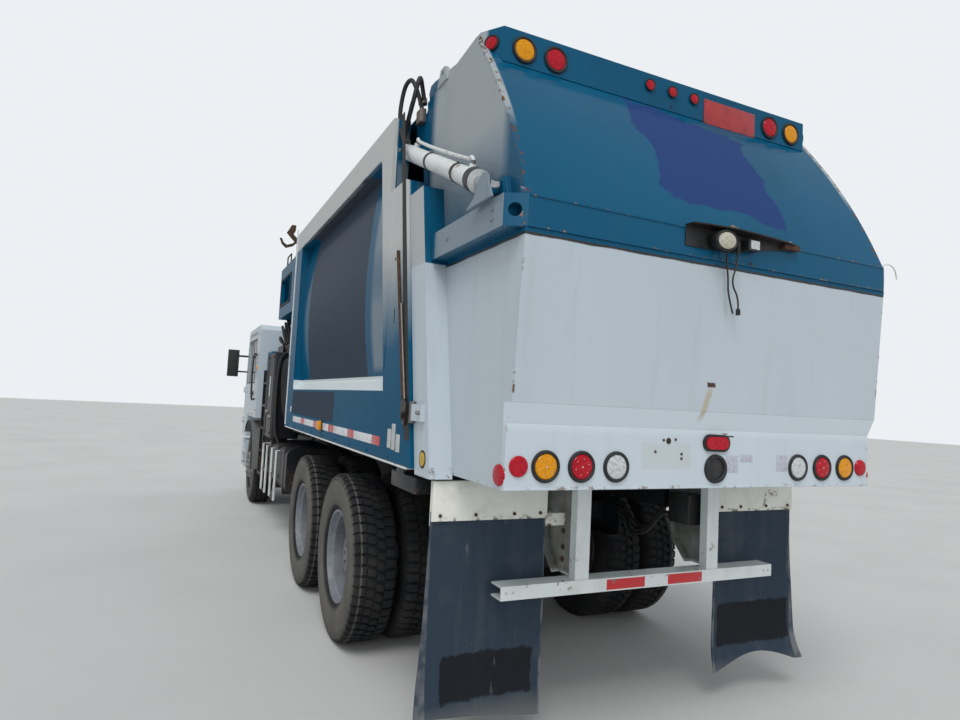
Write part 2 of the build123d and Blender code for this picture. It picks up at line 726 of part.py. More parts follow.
def arm_carriage():
    part = box(arm_x - 350, arm_x + 350, arm_plate_y, arm_plate_y + arm_plate, slide_z - 90, slide_z + 90)
    for x in (arm_x - slide_offset_x, arm_x + slide_offset_x):
        tube = box(x - slide_half, x + slide_half, arm_plate_y + arm_plate, slide_inner_y - 60, slide_z - slide_half,
                   slide_z + slide_half)
        shoe = slide_outer / 2 - slide_wall - seat_gap
        tube += box(x - shoe, x + shoe, slide_inner_y - 140, slide_inner_y - 60, slide_z - shoe, slide_z + shoe)
        part += tube
    gap = boom_width / 2 + move_gap
    for side in (1, -1):
        x0, x1 = arm_x + side * gap, arm_x + side * (gap + 25)
        cheek = plate_yz([(arm_plate_y + arm_plate, slide_z - 90), (arm_plane_y - 50, slide_z - 90),
                          (arm_plane_y - 50, shoulder_z + 50), (arm_plane_y + 90, shoulder_z + 50),
                          (arm_plate_y + arm_plate + 60, slide_z + 200), (arm_plate_y + arm_plate, slide_z + 90)],
                         min(x0, x1), max(x0, x1))
        part += cheek - rod_x(arm_plane_y, shoulder_z, 30 + pin_play, arm_x - 400, arm_x + 400)
    return [part]


def lift_boom():
    half = boom_depth / 2
    top = rod_x(arm_plane_y, shoulder_z, half, arm_x - boom_width / 2, arm_x + boom_width / 2)
    boom = box(arm_x - boom_width / 2, arm_x + boom_width / 2, arm_plane_y - half, arm_plane_y + half,
               shoulder_z - boom_reach - 80, shoulder_z)
    boom += top
    boom -= box(arm_x - boom_width / 2 + 40, arm_x + boom_width / 2 - 40, arm_plane_y - half - 5,
                arm_plane_y - half + 60, shoulder_z - boom_reach + 160, shoulder_z - 120)
    boom += rod_x(arm_plane_y, shoulder_z, 30, arm_x - boom_width / 2 - 60, arm_x + boom_width / 2 + 60)
    z = shoulder_z - boom_reach
    for side in (1, -1):
        x0, x1 = arm_x + side * boom_width / 2, arm_x + side * (finger_pin_x + 40)
        for dz in (-80, finger_height / 2 + 8):
            boom += box(x0 - side * 5, x1, arm_plane_y - 40, arm_plane_y + 40, z + dz - 7, z + dz + 9)
        boom += rod_z(arm_x + side * finger_pin_x, arm_plane_y, 14, z - 80, z + 80)
    return [boom]


def finger(side):
    """A curved grip arm; side +1 is the front one."""
    z = shoulder_z - boom_reach
    x = arm_x + side * finger_pin_x
    h = finger_height / 2 - 7
    d = finger_depth / 2
    arm = rod_z(x, arm_plane_y, 30, z - h, z + h)
    bar = box(x, x + side * finger_length * 0.6, arm_plane_y - d, arm_plane_y + d, z - h, z + h)
    tip = plate_xy([(x + side * finger_length * 0.6, arm_plane_y - d), (x + side * finger_length, arm_plane_y - d - 30),
                    (x + side * finger_length, arm_plane_y - d + 10), (x + side * finger_length * 0.6, arm_plane_y + d)],
                   z - h, z + h)
    arm += bar + tip
    arm -= rod_z(x, arm_plane_y, 14 + pin_play, z - 100, z + 100)
    return [arm]


# Tailgate

tail_front = tail_gap
arc_low_x = belt_x + 8
arc_low_z = belt_high_z


def tail_side_outline(inset):
    """Edges of the tailgate's side, without the rear arc."""
    top_front = seam_x(hinge_z - 60) - tail_front
    return [(arc_low_x + inset, arc_low_z), (panel_top_x + inset, panel_top_z),
            (panel_low_x + inset, panel_low_z), (apron_x + inset, crease_z), (apron_x + inset, tail_bottom_z + inset),
            (seam_x(tail_bottom_z) - tail_front, tail_bottom_z + inset),
            (top_front, hinge_z - 60 - inset), (lid_rear_x + inset, lid_rear_z - inset)]


def tail_profile(y, inset):
    """Face of the tailgate's outline in the plane y, its rear edge an arc."""
    points = [(x, y, z) for x, z in tail_side_outline(inset)]
    arc = ThreePointArc(points[-1], (arc_mid_x + inset, y, arc_mid_z), points[0])
    edges = [Line(a, b) for a, b in zip(points[:-1], points[1:])]
    return make_face(edges + [arc])


def tail_block(half, inset):
    return extrude(tail_profile(-half, inset), amount=2 * half, dir=(0, 1, 0))


def tail_split():
    """Everything of the tailgate above the belt's foot."""
    return box(rear_x - 500, seam_top_x + 600, -2000, 2000, panel_top_z, 4200)


def tail_hollow():
    skin = tail_block(tail_side_y, 0) - tail_block(tail_side_y - sheet, sheet)
    mouth = plate_xz([(seam_x(1200) + 200, 1200), (seam_x(3300) + 200, 3300), (seam_x(3300) - tail_front - sheet, 3300),
                      (seam_x(1200) - tail_front - sheet, 1200)], sheet - tail_side_y, tail_side_y - sheet)
    return skin - mouth


def tail_shell():
    shell = tail_hollow() & tail_split()
    ear_y = hinge_y
    for side in (1, -1):
        y0, y1 = side * (ear_y - 16), side * (ear_y + 10)
        ear = plate_xz([(hinge_x + 45, hinge_z + 10), (hinge_x + 30, hinge_z - 35), (hinge_x - 60, hinge_z - 62),
                        (hinge_x - 340, hinge_z - 62), (hinge_x - 340, hinge_z + 5), (hinge_x - 40, hinge_z + 45),
                        (hinge_x + 20, hinge_z + 45)], y0, y1)
        shell += ear
        eye = plate_xz([(hinge_x - 290, hinge_z - 50), (hinge_x - 250, hinge_z + 35), (hinge_x - 190, hinge_z + 35),
                        (hinge_x - 150, hinge_z - 50)], side * (ear_y + 10), side * (tail_side_y + 8))
        shell += eye - rod_y(hinge_x - 220, hinge_z + 5, 14, -3000, 3000)
        shell += rod_y(hinge_x, hinge_z, hinge_pin_radius, side * (ear_y - 60), side * (ear_y + 10))
    return [shell]


def tail_lower():
    lower = tail_hollow() - tail_split()
    return [lower]


def tail_frame():
    """Leaning columns at the front of the tailgate and the belt round its middle."""
    column = plate_xz(leaning_band(column_bottom_z, column_top_z, tail_front, tail_front + column_width), tail_side_y,
                      column_out_y)
    hollow = plate_xz(leaning_band(column_bottom_z - 5, column_top_z - 10, tail_front + 10, tail_front + column_width - 10),
                      tail_side_y + 10, column_out_y - 10)
    column -= hollow
    x0 = seam_x(belt_low_z) - tail_front - column_width + 1
    arm = box(belt_x + 70, x0, tail_side_y, belt_out_y, belt_low_z, belt_high_z)
    frame = column + arm
    corner = plate_xy([(belt_x, belt_face_half), (belt_x + 14, belt_face_half), (belt_x + 71, tail_side_y + 20),
                       (belt_x + 71, belt_out_y), (belt_x + 52, belt_out_y)], belt_low_z, belt_high_z)
    corner -= Pos(belt_x + 30, (belt_face_half + belt_out_y) / 2, (belt_low_z + belt_high_z) / 2) * Rot(
        0, 0, -31) * Rot(0, 90, 0) * Cylinder(28, 90)
    face = box(belt_x, belt_x + 12, 0, belt_face_half, belt_low_z, belt_high_z)
    lug = plate_xz([(lug_x - 60, belt_high_z), (lug_x - 35, lug_z + 45), (lug_x + 35, lug_z + 45),
                    (lug_x + 90, belt_high_z)], tail_side_y, cylinder_y - rod_radius - move_gap)
    latch = box(seam_x(1540) - 180, seam_x(1540) - tail_front - 6, column_out_y - 12, column_out_y + 24, 1500, 1580)
    half = frame + corner + face + lug + latch
    whole = half + mirror(half, Plane.XZ)
    whole -= tail_hollow()
    return [whole]


def light_bar():
    outline = [(bar_x, -bar_half), (bar_x + 107, -bar_half - 72), (lid_rear_x + 60, -bar_half - 72),
               (lid_rear_x + 60, bar_half + 72), (bar_x + 107, bar_half + 72), (bar_x, bar_half)]
    bar = plate_xy(outline, bar_low_z, bar_high_z)
    return [bar - tail_block(tail_side_y, 0)]


grommet_radius = 66
grommet_depth = 14
small_radius = 42
lamp_z = 1360
upper_lamp_z = 3268
# Lower row: distance in from the side of the tailgate, then radius
lower_lamps = [(533, grommet_radius), (357, grommet_radius), (185, grommet_radius), (61, small_radius)]
# Upper row: distance in from the end of the light bar, then radius
upper_lamps = [(283, grommet_radius), (110, grommet_radius)]
centre_lamps = [-150, 0, 150]


def lamp_disc(x, y, z, radius):
    return rod_x(y, z, radius, x - grommet_depth, x)


def tail_lamps():
    found = []
    for inset, radius in lower_lamps:
        found += [lamp_disc(apron_x, s * (tail_side_y - inset), lamp_z, radius) for s in (1, -1)]
    for inset, radius in upper_lamps:
        found += [lamp_disc(bar_x, s * (bar_half - inset), upper_lamp_z, radius) for s in (1, -1)]
    found += [lamp_disc(bar_x, y, upper_lamp_z + 25, 20) for y in centre_lamps]
    return found


lamp_bracket_z = belt_high_z - 20
wire_x = belt_x - 24
gland_z = 2335
wire_radius = 4
plug_size = 15
plug_length = 32
# Two loose wires below the lamp: points from the gland down to the plug or the bare end
plug_wire_route = [(0, -4, 0), (0, -4, -44), (-10, 34, -106), (-8, 34, -152), (0, -12, -200), (0, -12, -248)]
bare_wire_route = [(0, 64, 0), (0, 64, -50), (10, 42, -118), (6, 46, -190), (0, 20, -276)]


def work_lamp():
    x = belt_x
    bracket = box(x - 12, x, -410, 290, lamp_bracket_z - 40, lamp_bracket_z)
    lamp = rod_x(100, 2385, 58, x - 70, x - 5) & box(x - 100, x, 30, 170, 2385 - 44, 2385 + 44)
    plate = box(x - 102, x - 5, -112, -68, 2370, 2410)
    gland = box(wire_x - 14, x - 3, -26, 84, gland_z, lamp_bracket_z - 30)
    return [bracket + lamp + plate + gland]


def wire(route):
    """A loose wire as a tube of straight runs and tangent arcs."""
    points = [Vector(wire_x + dx, y, gland_z + dz) for dx, y, dz in route]
    runs = [b - a for a, b in zip(points[:-1], points[1:])]
    bends = []
    for before, after in zip(runs[:-1], runs[1:]):
        half_turn = radians(before.get_angle(after)) / 2
        bends.append(0.45 * min(before.length, after.length) / tan(half_turn))
    path = FilletPolyline(*points, radius=bends)
    tube = sweep(Plane(origin=path @ 0, z_dir=path % 0) * Circle(wire_radius), path=path)
    print("wire length", round(path.length, 1), "bends", [round(b, 1) for b in bends],
          "volume ratio", round(tube.volume / (path.length * pi * wire_radius ** 2), 4))
    return [tube]


def wire_plug():
    dx, y, dz = plug_wire_route[-1]
    x, z = wire_x + dx, gland_z + dz
    plug = box(x - plug_size / 2, x + plug_size / 2, y - plug_size / 2, y + plug_size / 2, z - plug_length, z)
    return [fillet(plug.edges().filter_by(Axis.Z), 3)]


# Tail cylinders

lean = atan2(anchor_z - lug_z, anchor_x - lug_x)
cylinder_length = hypot(anchor_x - lug_x, anchor_z - lug_z)


def along(distance, radius, length, side):
    """A round bar on the cylinder's axis, from distance to distance + length behind its pivot."""
    middle = distance + length / 2
    x = anchor_x - middle * cos(lean)
    z = anchor_z - middle * sin(lean)
    return Pos(x, side * cylinder_y, z) * Rot(0, -degrees(lean) - 90, 0) * Cylinder(radius, length)


def cylinder_barrel(side):
    y0, y1 = side * (cylinder_y - eye_width / 2), side * (cylinder_y + eye_width / 2)
    barrel = rod_y(anchor_x, anchor_z, eye_radius, y0, y1)
    barrel += along(20, 30, 60, side)
    barrel += along(60, barrel_radius, cylinder_length - 220, side)
    barrel += along(cylinder_length - 210, barrel_radius + 8, 70, side)
    barrel -= along(110, rod_radius + 8, cylinder_length - 280, side)
    barrel -= along(110, rod_radius + pin_play, cylinder_length, side)
    barrel -= rod_y(anchor_x, anchor_z, 24 + pin_play, y0 - side * 50, y1 + side * 50)
    return [barrel]


def cylinder_rod(side):
    y0, y1 = side * (cylinder_y - eye_width / 2), side * (cylinder_y + eye_width / 2)
    rod = rod_y(lug_x, lug_z, eye_radius - 6, y0, y1)
    rod += along(130, rod_radius, cylinder_length - 150, side)
    return [rod]


# Cab

screen_low = cab_half - 170
screen_high = cab_half - 220
screen_outline = [(-screen_low, 1680), (screen_low, 1680), (screen_high, 2360), (-screen_high, 2360)]


def cab_outline(inset):
    i = inset
    return [(cab_rear_x + i, cab_floor_z + i), (cab_rear_x + i, cab_roof_z - 70), (cab_rear_x + 70, cab_roof_z - i),
            (cab_front_x - 200, cab_roof_z - i), (cab_front_x - 100 - i, cab_roof_z - 120),
            (cab_front_x - i, cab_floor_z + 420), (cab_front_x - i, cab_low_z + i), (cab_step_x + i, cab_low_z + i),
            (cab_step_x + i, cab_floor_z + i)]


def cab_walls():
    outer = plate_xz(cab_outline(0), -cab_half, cab_half)
    inner = plate_xz(cab_outline(cab_wall), cab_wall - cab_half, cab_half - cab_wall)
    shell = outer - inner
    shell -= box(cab_step_x - 100, cab_front_x - cab_wall, -560, 560, cab_low_z - 10, 1100)
    shell += box(cab_step_x + cab_wall, cab_front_x - cab_wall, -560, 560, 1100, 1130)
    for side in (1, -1):
        shell += box(cab_step_x + cab_wall, cab_front_x - cab_wall, side * 560, side * 590, cab_low_z, 1130)
    shell -= plate_yz(screen_outline, cab_front_x - 300, cab_front_x + 50)
    shell -= box(cab_rear_x - 20, cab_rear_x + cab_wall + 20, -420, 420, 1850, 2300)
    return shell


door_rear_x = cab_rear_x + 340
door_edge_x = door_hinge_x - 8
door_outline = [(door_rear_x, cab_floor_z + 40), (door_rear_x, 2450), (door_edge_x - 117, 2450), (door_edge_x, 1720),
                (door_edge_x, 960), (cab_step_x + 50, 960), (cab_step_x + 50, cab_floor_z + 40)]
door_window = [(door_rear_x + 80, 1740), (door_rear_x + 80, 2370), (door_edge_x - 157, 2370), (door_edge_x - 67, 1740)]
door_hinge_zs = [1140, 1620]


def door_prism(side, grow):
    points = []
    for x, z in door_outline:
        px = x - grow if x <= cab_step_x + 50 else x + grow
        points.append((px, z + grow if z > 2000 else z - grow))
    y0 = side * (cab_half - cab_wall - 10)
    y1 = side * (cab_half + 10)
    return plate_xz(points, min(y0, y1), max(y0, y1))


def cab_shell():
    shell = cab_walls()
    for side in (1, -1):
        shell -= door_prism(side, move_gap)
    for side in (1, -1):
        lug = box(cab_pivot_x - 45, cab_pivot_x + 45, side * 250, side * 280, cab_pivot_z - 45, 1101)
        shell += lug - rod_y(cab_pivot_x, cab_pivot_z, cab_pivot_radius + pin_play, -400, 400)
        for z in door_hinge_zs:
            shell += rod_z(door_hinge_x, side * door_hinge_y, door_pin_radius, z - 44, z + 44)
            for low in (z - 44, z + 34):
                shell += box(door_hinge_x - 2, door_hinge_x + 45, side * (cab_half - 5), side * (door_hinge_y + 10),
                             low, low + 10)
    return [shell]


def cab_glass():
    front = plate_yz(screen_outline, cab_front_x - 300, cab_front_x + 50)
    line = [(cab_front_x - 30, cab_floor_z + 420), (cab_front_x - 130, cab_roof_z - 120)]
    half = cab_half - 150
    (x0, z0), (x1, z1) = line
    pane = plate_xz([(x0, z0), (x1, z1), (x1 - 8, z1), (x0 - 8, z0)], -half, half) & front
    rear = box(cab_rear_x + 20, cab_rear_x + 26, -420, 420, 1850, 2300)
    return [pane, rear]


def cab_interior():
    floor_z = cab_floor_z + cab_wall
    seat_y = cab_half - 530
    parts = []
    for side in (1, -1):
        y = side * seat_y
        seat = box(cab_rear_x + 250, cab_rear_x + 700, y - 240, y + 240, floor_z, floor_z + 380)
        seat += box(cab_rear_x + 160, cab_rear_x + 280, y - 230, y + 230, floor_z + 300, floor_z + 980)
        parts.append(seat)
    dash_x = cab_front_x - 360
    half = cab_half - 110
    dash = box(dash_x, cab_front_x - cab_wall, -half, half, 1131, 1560)
    column = Pos(dash_x - 50, seat_y, 1560) * Rot(0, -55, 0) * Cylinder(30, 200)
    ring = Pos(dash_x - 100, seat_y, 1640) * Rot(0, -35, 0) * Torus(210, 16)
    bar = Pos(dash_x - 100, seat_y, 1640) * Rot(0, -35, 0) * Box(30, 420, 14)
    parts.append(dash + column + ring + bar)
    return parts


def door(side):
    panel = cab_walls() & door_prism(side, 0)
    y0, y1 = side * (cab_half - cab_wall - 20), side * (cab_half + 20)
    panel -= plate_xz(door_window, min(y0, y1), max(y0, y1))
    for z in door_hinge_zs:
        panel += rod_z(door_hinge_x, side * door_hinge_y, 15, z - 28, z + 28)
        panel += box(door_hinge_x - 90, door_hinge_x - 12, side * (cab_half - 5), side * (cab_half + 12), z - 28, z + 28)
        panel += box(door_hinge_x - 30, door_hinge_x, side * (cab_half + 6), side * (cab_half + 30), z - 28, z + 28)
        panel -= rod_z(door_hinge_x, side * door_hinge_y, door_pin_radius + pin_play, z - 30, z + 30)
    mid = side * (cab_half - cab_wall / 2)
    pane = plate_xz(door_window, mid - 3, mid + 3)
    return [panel, pane]


def mirrors():
    x = cab_front_x - 75
    y = cab_half + 140
    head = box(x - 40, x + 40, y, y + 170, 1830, 2260)
    head = fillet(head.edges().filter_by(Axis.Z), 30)
    arm = box(x - 15, x + 15, cab_half - 30, y + 10, 2150, 2180) + box(x - 15, x + 15, cab_half, y + 10, 1900, 1925)
    return both_sides((head + arm) - cab_walls())


def front_lamps():
    found = []
    for side in (1, -1):
        found.append(box(bumper_x, bumper_x + 12, side * (bumper_half - 420), side * (bumper_half - 120), 600, 740))
    return found


def build():
    save("frame_rails", frame_rails())
    save("axle_beams", axle_beams())
    save("springs", springs())
    save("driveshaft", driveshaft())
    save("engine_block", engine_block())
    save("side_tanks", side_tanks())
    save("hydraulic_tank", hydraulic_tank())
    save("access_ladder", access_ladder())
    save("exhaust_stack", exhaust_stack())
    save("front_bumper", front_bumper())
    save("front_lamps", front_lamps())
    save("front_fenders", front_fenders())
    save("body_floor", body_floor())
    save("body_frame", body_frame())
    save("body_panels", body_panels())
    save("body_roof", body_roof())
    save("hopper", hopper())
    save("service_tank", service_tank())
    save("packer_blade", packer_blade())
    save("flap_hangers", flap_hangers())
    save("mud_flaps", mud_flaps())
    save("underride_bumper", underride_bumper())
    save("arm_rails", arm_rails())
    save("arm_carriage", arm_carriage())
    save("lift_boom", lift_boom())
    save("grip_finger_front", finger(1))
    save("grip_finger_rear", finger(-1))
    save("tail_shell", tail_shell())
    save("tail_lower", tail_lower())
    save("tail_frame", tail_frame())
    save("light_bar", light_bar())
    save("tail_lamps", tail_lamps())
    save("work_lamp", work_lamp())
    save("lamp_wire_plugged", wire(plug_wire_route))
    save("lamp_wire_bare", wire(bare_wire_route))
    save("wire_plug", wire_plug())
    save("cab_shell", cab_shell())
    save("cab_glass", cab_glass())
    save("cab_interior", cab_interior())
    save("mirrors", mirrors())
    for side, name in ((1, "left"), (-1, "right")):
        save(f"cylinder_barrel_{name}", cylinder_barrel(side))
        save(f"cylinder_rod_{name}", cylinder_rod(side))
        save(f"door_{name}", door(side))
        save(f"knuckle_{name}", knuckle(side))
        save(f"steer_tyre_{name}", steer_tyre(side))
        save(f"steer_rim_{name}", steer_rim(side))
        for x, axle in ((drive_axles[0], "rear"), (drive_axles[1], "mid")):
            save(f"{axle}_tyres_{name}", dual_tyres(x, side))
            save(f"{axle}_rims_{name}", dual_rims(x, side))


build()
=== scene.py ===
"""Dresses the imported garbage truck: its paints, tyres, lamps and fittings ride on the part's bodies."""

import json
import math

import bmesh
import bpy
from bpy.props import BoolProperty, FloatProperty, FloatVectorProperty, IntProperty, PointerProperty
from mathutils import Matrix, Vector


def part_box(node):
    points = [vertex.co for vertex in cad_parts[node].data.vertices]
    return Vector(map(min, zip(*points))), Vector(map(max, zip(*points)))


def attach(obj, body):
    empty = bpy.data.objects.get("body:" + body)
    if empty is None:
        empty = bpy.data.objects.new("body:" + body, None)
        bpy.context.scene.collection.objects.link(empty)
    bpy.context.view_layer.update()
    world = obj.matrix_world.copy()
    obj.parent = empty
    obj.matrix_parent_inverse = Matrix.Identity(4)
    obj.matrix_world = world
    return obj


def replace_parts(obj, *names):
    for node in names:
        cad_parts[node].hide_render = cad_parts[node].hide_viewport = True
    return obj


bl_info = {
    "name": "Side-loading garbage truck",
    "version": (1, 0, 0),
    "blender": (4, 5, 0),
    "location": "3D View > Sidebar > Truck",
    "description": "Dresses the packed truck with paint, rubber, lamps, treads and fittings",
    "category": "Object",
}

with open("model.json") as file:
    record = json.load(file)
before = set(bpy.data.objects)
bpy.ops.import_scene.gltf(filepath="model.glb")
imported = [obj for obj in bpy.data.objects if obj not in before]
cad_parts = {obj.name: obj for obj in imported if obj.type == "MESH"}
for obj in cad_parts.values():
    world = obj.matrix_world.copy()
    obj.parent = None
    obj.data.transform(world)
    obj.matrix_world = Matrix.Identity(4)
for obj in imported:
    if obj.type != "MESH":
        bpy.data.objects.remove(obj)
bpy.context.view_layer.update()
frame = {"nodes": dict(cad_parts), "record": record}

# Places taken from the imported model, in metres
BELT_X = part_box("tail_frame")[0].x
LIGHT_BAR_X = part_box("light_bar")[0].x
UNDERRIDE_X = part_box("underride_bumper")[0].x
CAB_LOW, CAB_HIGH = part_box("cab_shell")

# Places of the part's source, in metres
APRON_X = -4.483
CREASE_LOW_Z, CREASE_HIGH_Z = 1.528, 1.615
BELT_TOP_Z = 2.425
SEAM_LEAN = 0.214
SEAM_TOP_X = -3.338
ROOF_EDGE_Z = 3.24
WHITE_TOP_Z = 2.28
SILL_FOOT_Z = 1.2
FLOOR_SKIN_Z = 1.279
BODY_FLAT_Y = 1.19
TAIL_FRONT_X = -3.6
BELT_REAR_X = -4.568
WINDOW_LOW_Z, WINDOW_HIGH_Z = 1.74, 2.37
WINDOW_REAR_X, WINDOW_FRONT_X = 3.32, 4.335

# How the rear edge of the tailgate's sides slopes, and how its arc bends over the belt
CREASE_SLOPE, PANEL_SLOPE = 0.4253, 0.0666
ARC_SLOPE, ARC_BEND = 0.4328, 0.21

BEHIND = Vector((-1, 0, 0))
UPWARDS = (0, 0, 1)
SIDES = ((1, "left"), (-1, "right"))


def tail_rear(finish):
    """How far a place lies ahead of the rear edge of the tailgate's sides."""
    bend = (CREASE_HIGH_Z - (CREASE_HIGH_Z - finish.z).most(0.0)).most(CREASE_LOW_Z) - CREASE_LOW_Z
    low = bend * -CREASE_SLOPE - (finish.z - CREASE_HIGH_Z).most(0.0) * PANEL_SLOPE + APRON_X
    rise = (finish.z - BELT_TOP_Z).most(0.0)
    high = rise * ARC_SLOPE + rise * rise * ARC_BEND
    return finish.x - low.most(BELT_REAR_X) - high


def seam_x(z):
    """The joint between load body and tailgate leans back towards its foot."""
    return SEAM_TOP_X - SEAM_LEAN * (ROOF_EDGE_Z - z)


# Settings that a user may change

def tint(name, description, default):
    return FloatVectorProperty(name=name, description=description, subtype="COLOR", size=3, default=default)


def amount(name, description, default, low, high, **more):
    return FloatProperty(name=name, description=description, default=default, min=low, max=high, **more)


class TruckPaint(bpy.types.PropertyGroup):
    teal: tint("Body paint", "Dark paint of the load body and upper tailgate", (0.002, 0.093, 0.188))
    white: tint("White paint", "Paint of the cab and lower tailgate", (0.52, 0.59, 0.645))
    repair: tint("Repaired patch", "Duller paint on the upper tailgate", (0.026, 0.056, 0.185))
    side_repair: tint("Side patches", "Duller paint on the side sheets", (0.068, 0.079, 0.1))
    rust: tint("Rust", "Chips and streaks", (0.17, 0.075, 0.028))
    dust: tint("Road dust", "Grey dust low on the truck", (0.2, 0.19, 0.17))
    wear: amount("Wear", "How strongly chips and dirt show", 1.0, 0.0, 2.0, subtype="FACTOR")


class TruckWheels(bpy.types.PropertyGroup):
    lugs: IntProperty(name="Tread lugs", description="Tread blocks round one tyre", default=54, min=12, max=90)
    lug_height: amount("Lug height", "Depth of the tread", 0.015, 0.004, 0.03, unit="LENGTH")
    nuts: IntProperty(name="Wheel nuts", description="Nuts on each wheel", default=10, min=5, max=12)
    nut_radius: amount("Nut size", "Half the width of a nut", 0.019, 0.008, 0.03, unit="LENGTH")


class TruckFittings(bpy.types.PropertyGroup):
    lens_dots: BoolProperty(name="Lamp diodes", description="Show the diodes behind the lenses", default=True)
    tape_step: amount("Tape step", "Mean length of one colour of the sills' tape", 0.29, 0.1, 0.5,
                      unit="LENGTH")
    wire_width: amount("Wire width", "Diameter of the loose wires", 0.008, 0.003, 0.02, unit="LENGTH")


class TruckStage(bpy.types.PropertyGroup):
    floor: tint("Floor", "Colour of the plain floor", (0.62, 0.62, 0.61))
    sun: amount("Key light", "Strength of the soft key light", 1.35, 0.0, 5.0)
    sky: amount("Fill light", "Strength of the even light around", 0.52, 0.0, 3.0)


# Shared helpers

def add_node(tree, kind, values=(), **settings):
    """Add one node, its settings first and then the values or links of its sockets."""
    made = tree.nodes.new(kind)
    for key, value in settings.items():
        setattr(made, key, value)
    for key, value in dict(values).items():
        feed(tree, made.inputs[key], value)
    return made


def feed(tree, socket, value):
    """Link a level or a socket, or set a number, a colour or a vector."""
    value = getattr(value, "socket", value)
    if isinstance(value, bpy.types.NodeSocket):
        tree.links.new(value, socket)
    elif hasattr(value, "__len__"):
        value = tuple(value)
        socket.default_value = value + (1.0,) if len(socket.default_value) == 4 and len(value) == 3 else value
    else:
        socket.default_value = value


def placed(name, data):
    """An object of this name in the scene."""
    made = bpy.data.objects.new(name, data)
    bpy.context.scene.collection.objects.link(made)
    return made


def mesh_data(name, mesh):
    """Turn a mesh under construction into the data of an object."""
    data = bpy.data.meshes.new(name)
    mesh.to_mesh(data)
    mesh.free()
    return data


def riding(name, data, finishes, body, angle):
    """Finish an object's data, and let it ride on its body."""
    for finish in finishes:
        data.materials.append(finish)
    made = placed(name, data)
    data.shade_smooth()
    data.set_sharp_from_angle(angle=math.radians(angle))
    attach(made, body)
    return made


def circle(count):
    """Cosine and sine at even steps round a full turn."""
    turns = [2 * math.pi * k / count for k in range(count)]
    return [(math.cos(a), math.sin(a)) for a in turns]


def axes_about(axis):
    """The unit axis and two directions across it."""
    axis = Vector(axis).normalized()
    first = axis.orthogonal().normalized()
    return axis, first, axis.cross(first)


# Materials

class Level:
    """A number that changes over a surface; sums on it add Math nodes."""

    def __init__(self, finish, socket):
        self.finish, self.socket = finish, socket

    def math(self, operation, *others, clamp=False):
        node = self.finish.node(
            "ShaderNodeMath", dict(enumerate((self,) + others)), operation=operation, use_clamp=clamp)
        return Level(self.finish, node.outputs[0])

    def __add__(self, other):
        return self.math("ADD", other)

    __radd__ = __add__

    def __sub__(self, other):
        return self.math("SUBTRACT", other)

    def __rsub__(self, other):
        return self * -1.0 + other

    def __mul__(self, other):
        return self.math("MULTIPLY", other)

    __rmul__ = __mul__

    def __truediv__(self, other):
        return self.math("DIVIDE", other)

    def __abs__(self):
        return self.math("ABSOLUTE")

    def clamped(self):
        return self.math("ADD", 0.0, clamp=True)

    def most(self, other):
        return self.math("MAXIMUM", other)


COAT_ROUGHNESS = 0.14


class Finish:
    """One node material under construction."""

    def __init__(self, name, rough=0.5, metal=0.0, coat=0.0, shine=0.5):
        self.material = bpy.data.materials.new(name)
        self.material.use_nodes = True
        self.tree = self.material.node_tree
        self.tree.nodes.clear()
        self.shader = self.node("ShaderNodeBsdfPrincipled")
        self.node("ShaderNodeOutputMaterial", {"Surface": self.shader.outputs[0]})
        self.place = self.node("ShaderNodeTexCoord").outputs["Object"]
        self.set(Roughness=rough, Metallic=metal, Coat_Weight=coat, Coat_Roughness=COAT_ROUGHNESS,
                 Specular_IOR_Level=shine)
        split = self.node("ShaderNodeSeparateXYZ", {0: self.place})
        self.x, self.y, self.z = (Level(self, out) for out in split.outputs)
        self.side = abs(self.y)
        self.paint = bpy.context.scene.truck_paint

    def node(self, kind, values=(), **settings):
        return add_node(self.tree, kind, values, **settings)

    def set(self, **values):
        for key, value in values.items():
            feed(self.tree, self.shader.inputs[key.replace("_", " ")], value)

    def colour(self, value):
        self.set(Base_Color=value)

    def blend(self, first, second, mask):
        """Mix two colours; the mask gives the share of the second."""
        return self.node("ShaderNodeMix", {0: mask, 6: first, 7: second}, data_type="RGBA").outputs[2]

    def noise(self, scale, detail=4.0, stretch=None, rough=0.55):
        """Cloudy noise from 0 to 1, stretched along an axis by a smaller factor there."""
        vector = self.place
        if stretch:
            vector = self.node("ShaderNodeMapping", {"Vector": vector, "Scale": stretch}).outputs[0]
        node = self.node(
            "ShaderNodeTexNoise", {"Vector": vector, "Scale": scale, "Detail": detail, "Roughness": rough})
        return Level(self, node.outputs[0])

    def cells(self, scale):
        node = self.node("ShaderNodeTexVoronoi", {"Vector": self.place, "Scale": scale})
        return Level(self, node.outputs[0])

    def over(self, value, edge, soft):
        """0 below the edge, 1 above it, soft over a width."""
        return ((value - edge) / soft).clamped()

    def spots(self, scale, detail, edge, soft):
        """1 where cloudy noise is higher than the edge."""
        return self.over(self.noise(scale, detail), edge, soft)

    def between(self, value, low, high, soft=0.004):
        return self.over(value, low, soft) * self.over(high - value, 0.0, soft)

    def behind(self, edge, soft):
        """1 where X is lower than the edge."""
        return self.over(edge - self.x, 0.0, soft)

    def below(self, edge, soft):
        return self.over(edge - self.z, 0.0, soft)

    def outside(self, edge, soft):
        """1 farther from the middle plane than the edge."""
        return self.over(self.side, edge, soft)

    def clouded(self, first, second, scale, detail, edge, soft):
        """A first tone with clouds of a second."""
        return self.blend(first, second, self.spots(scale, detail, edge, soft))

    def bump(self, height, strength=0.3, distance=0.002):
        node = self.node("ShaderNodeBump", {"Strength": strength, "Distance": distance, "Height": height})
        self.set(Normal=node.outputs[0])


def rgb(values, factor):
    return tuple(v * factor for v in values)


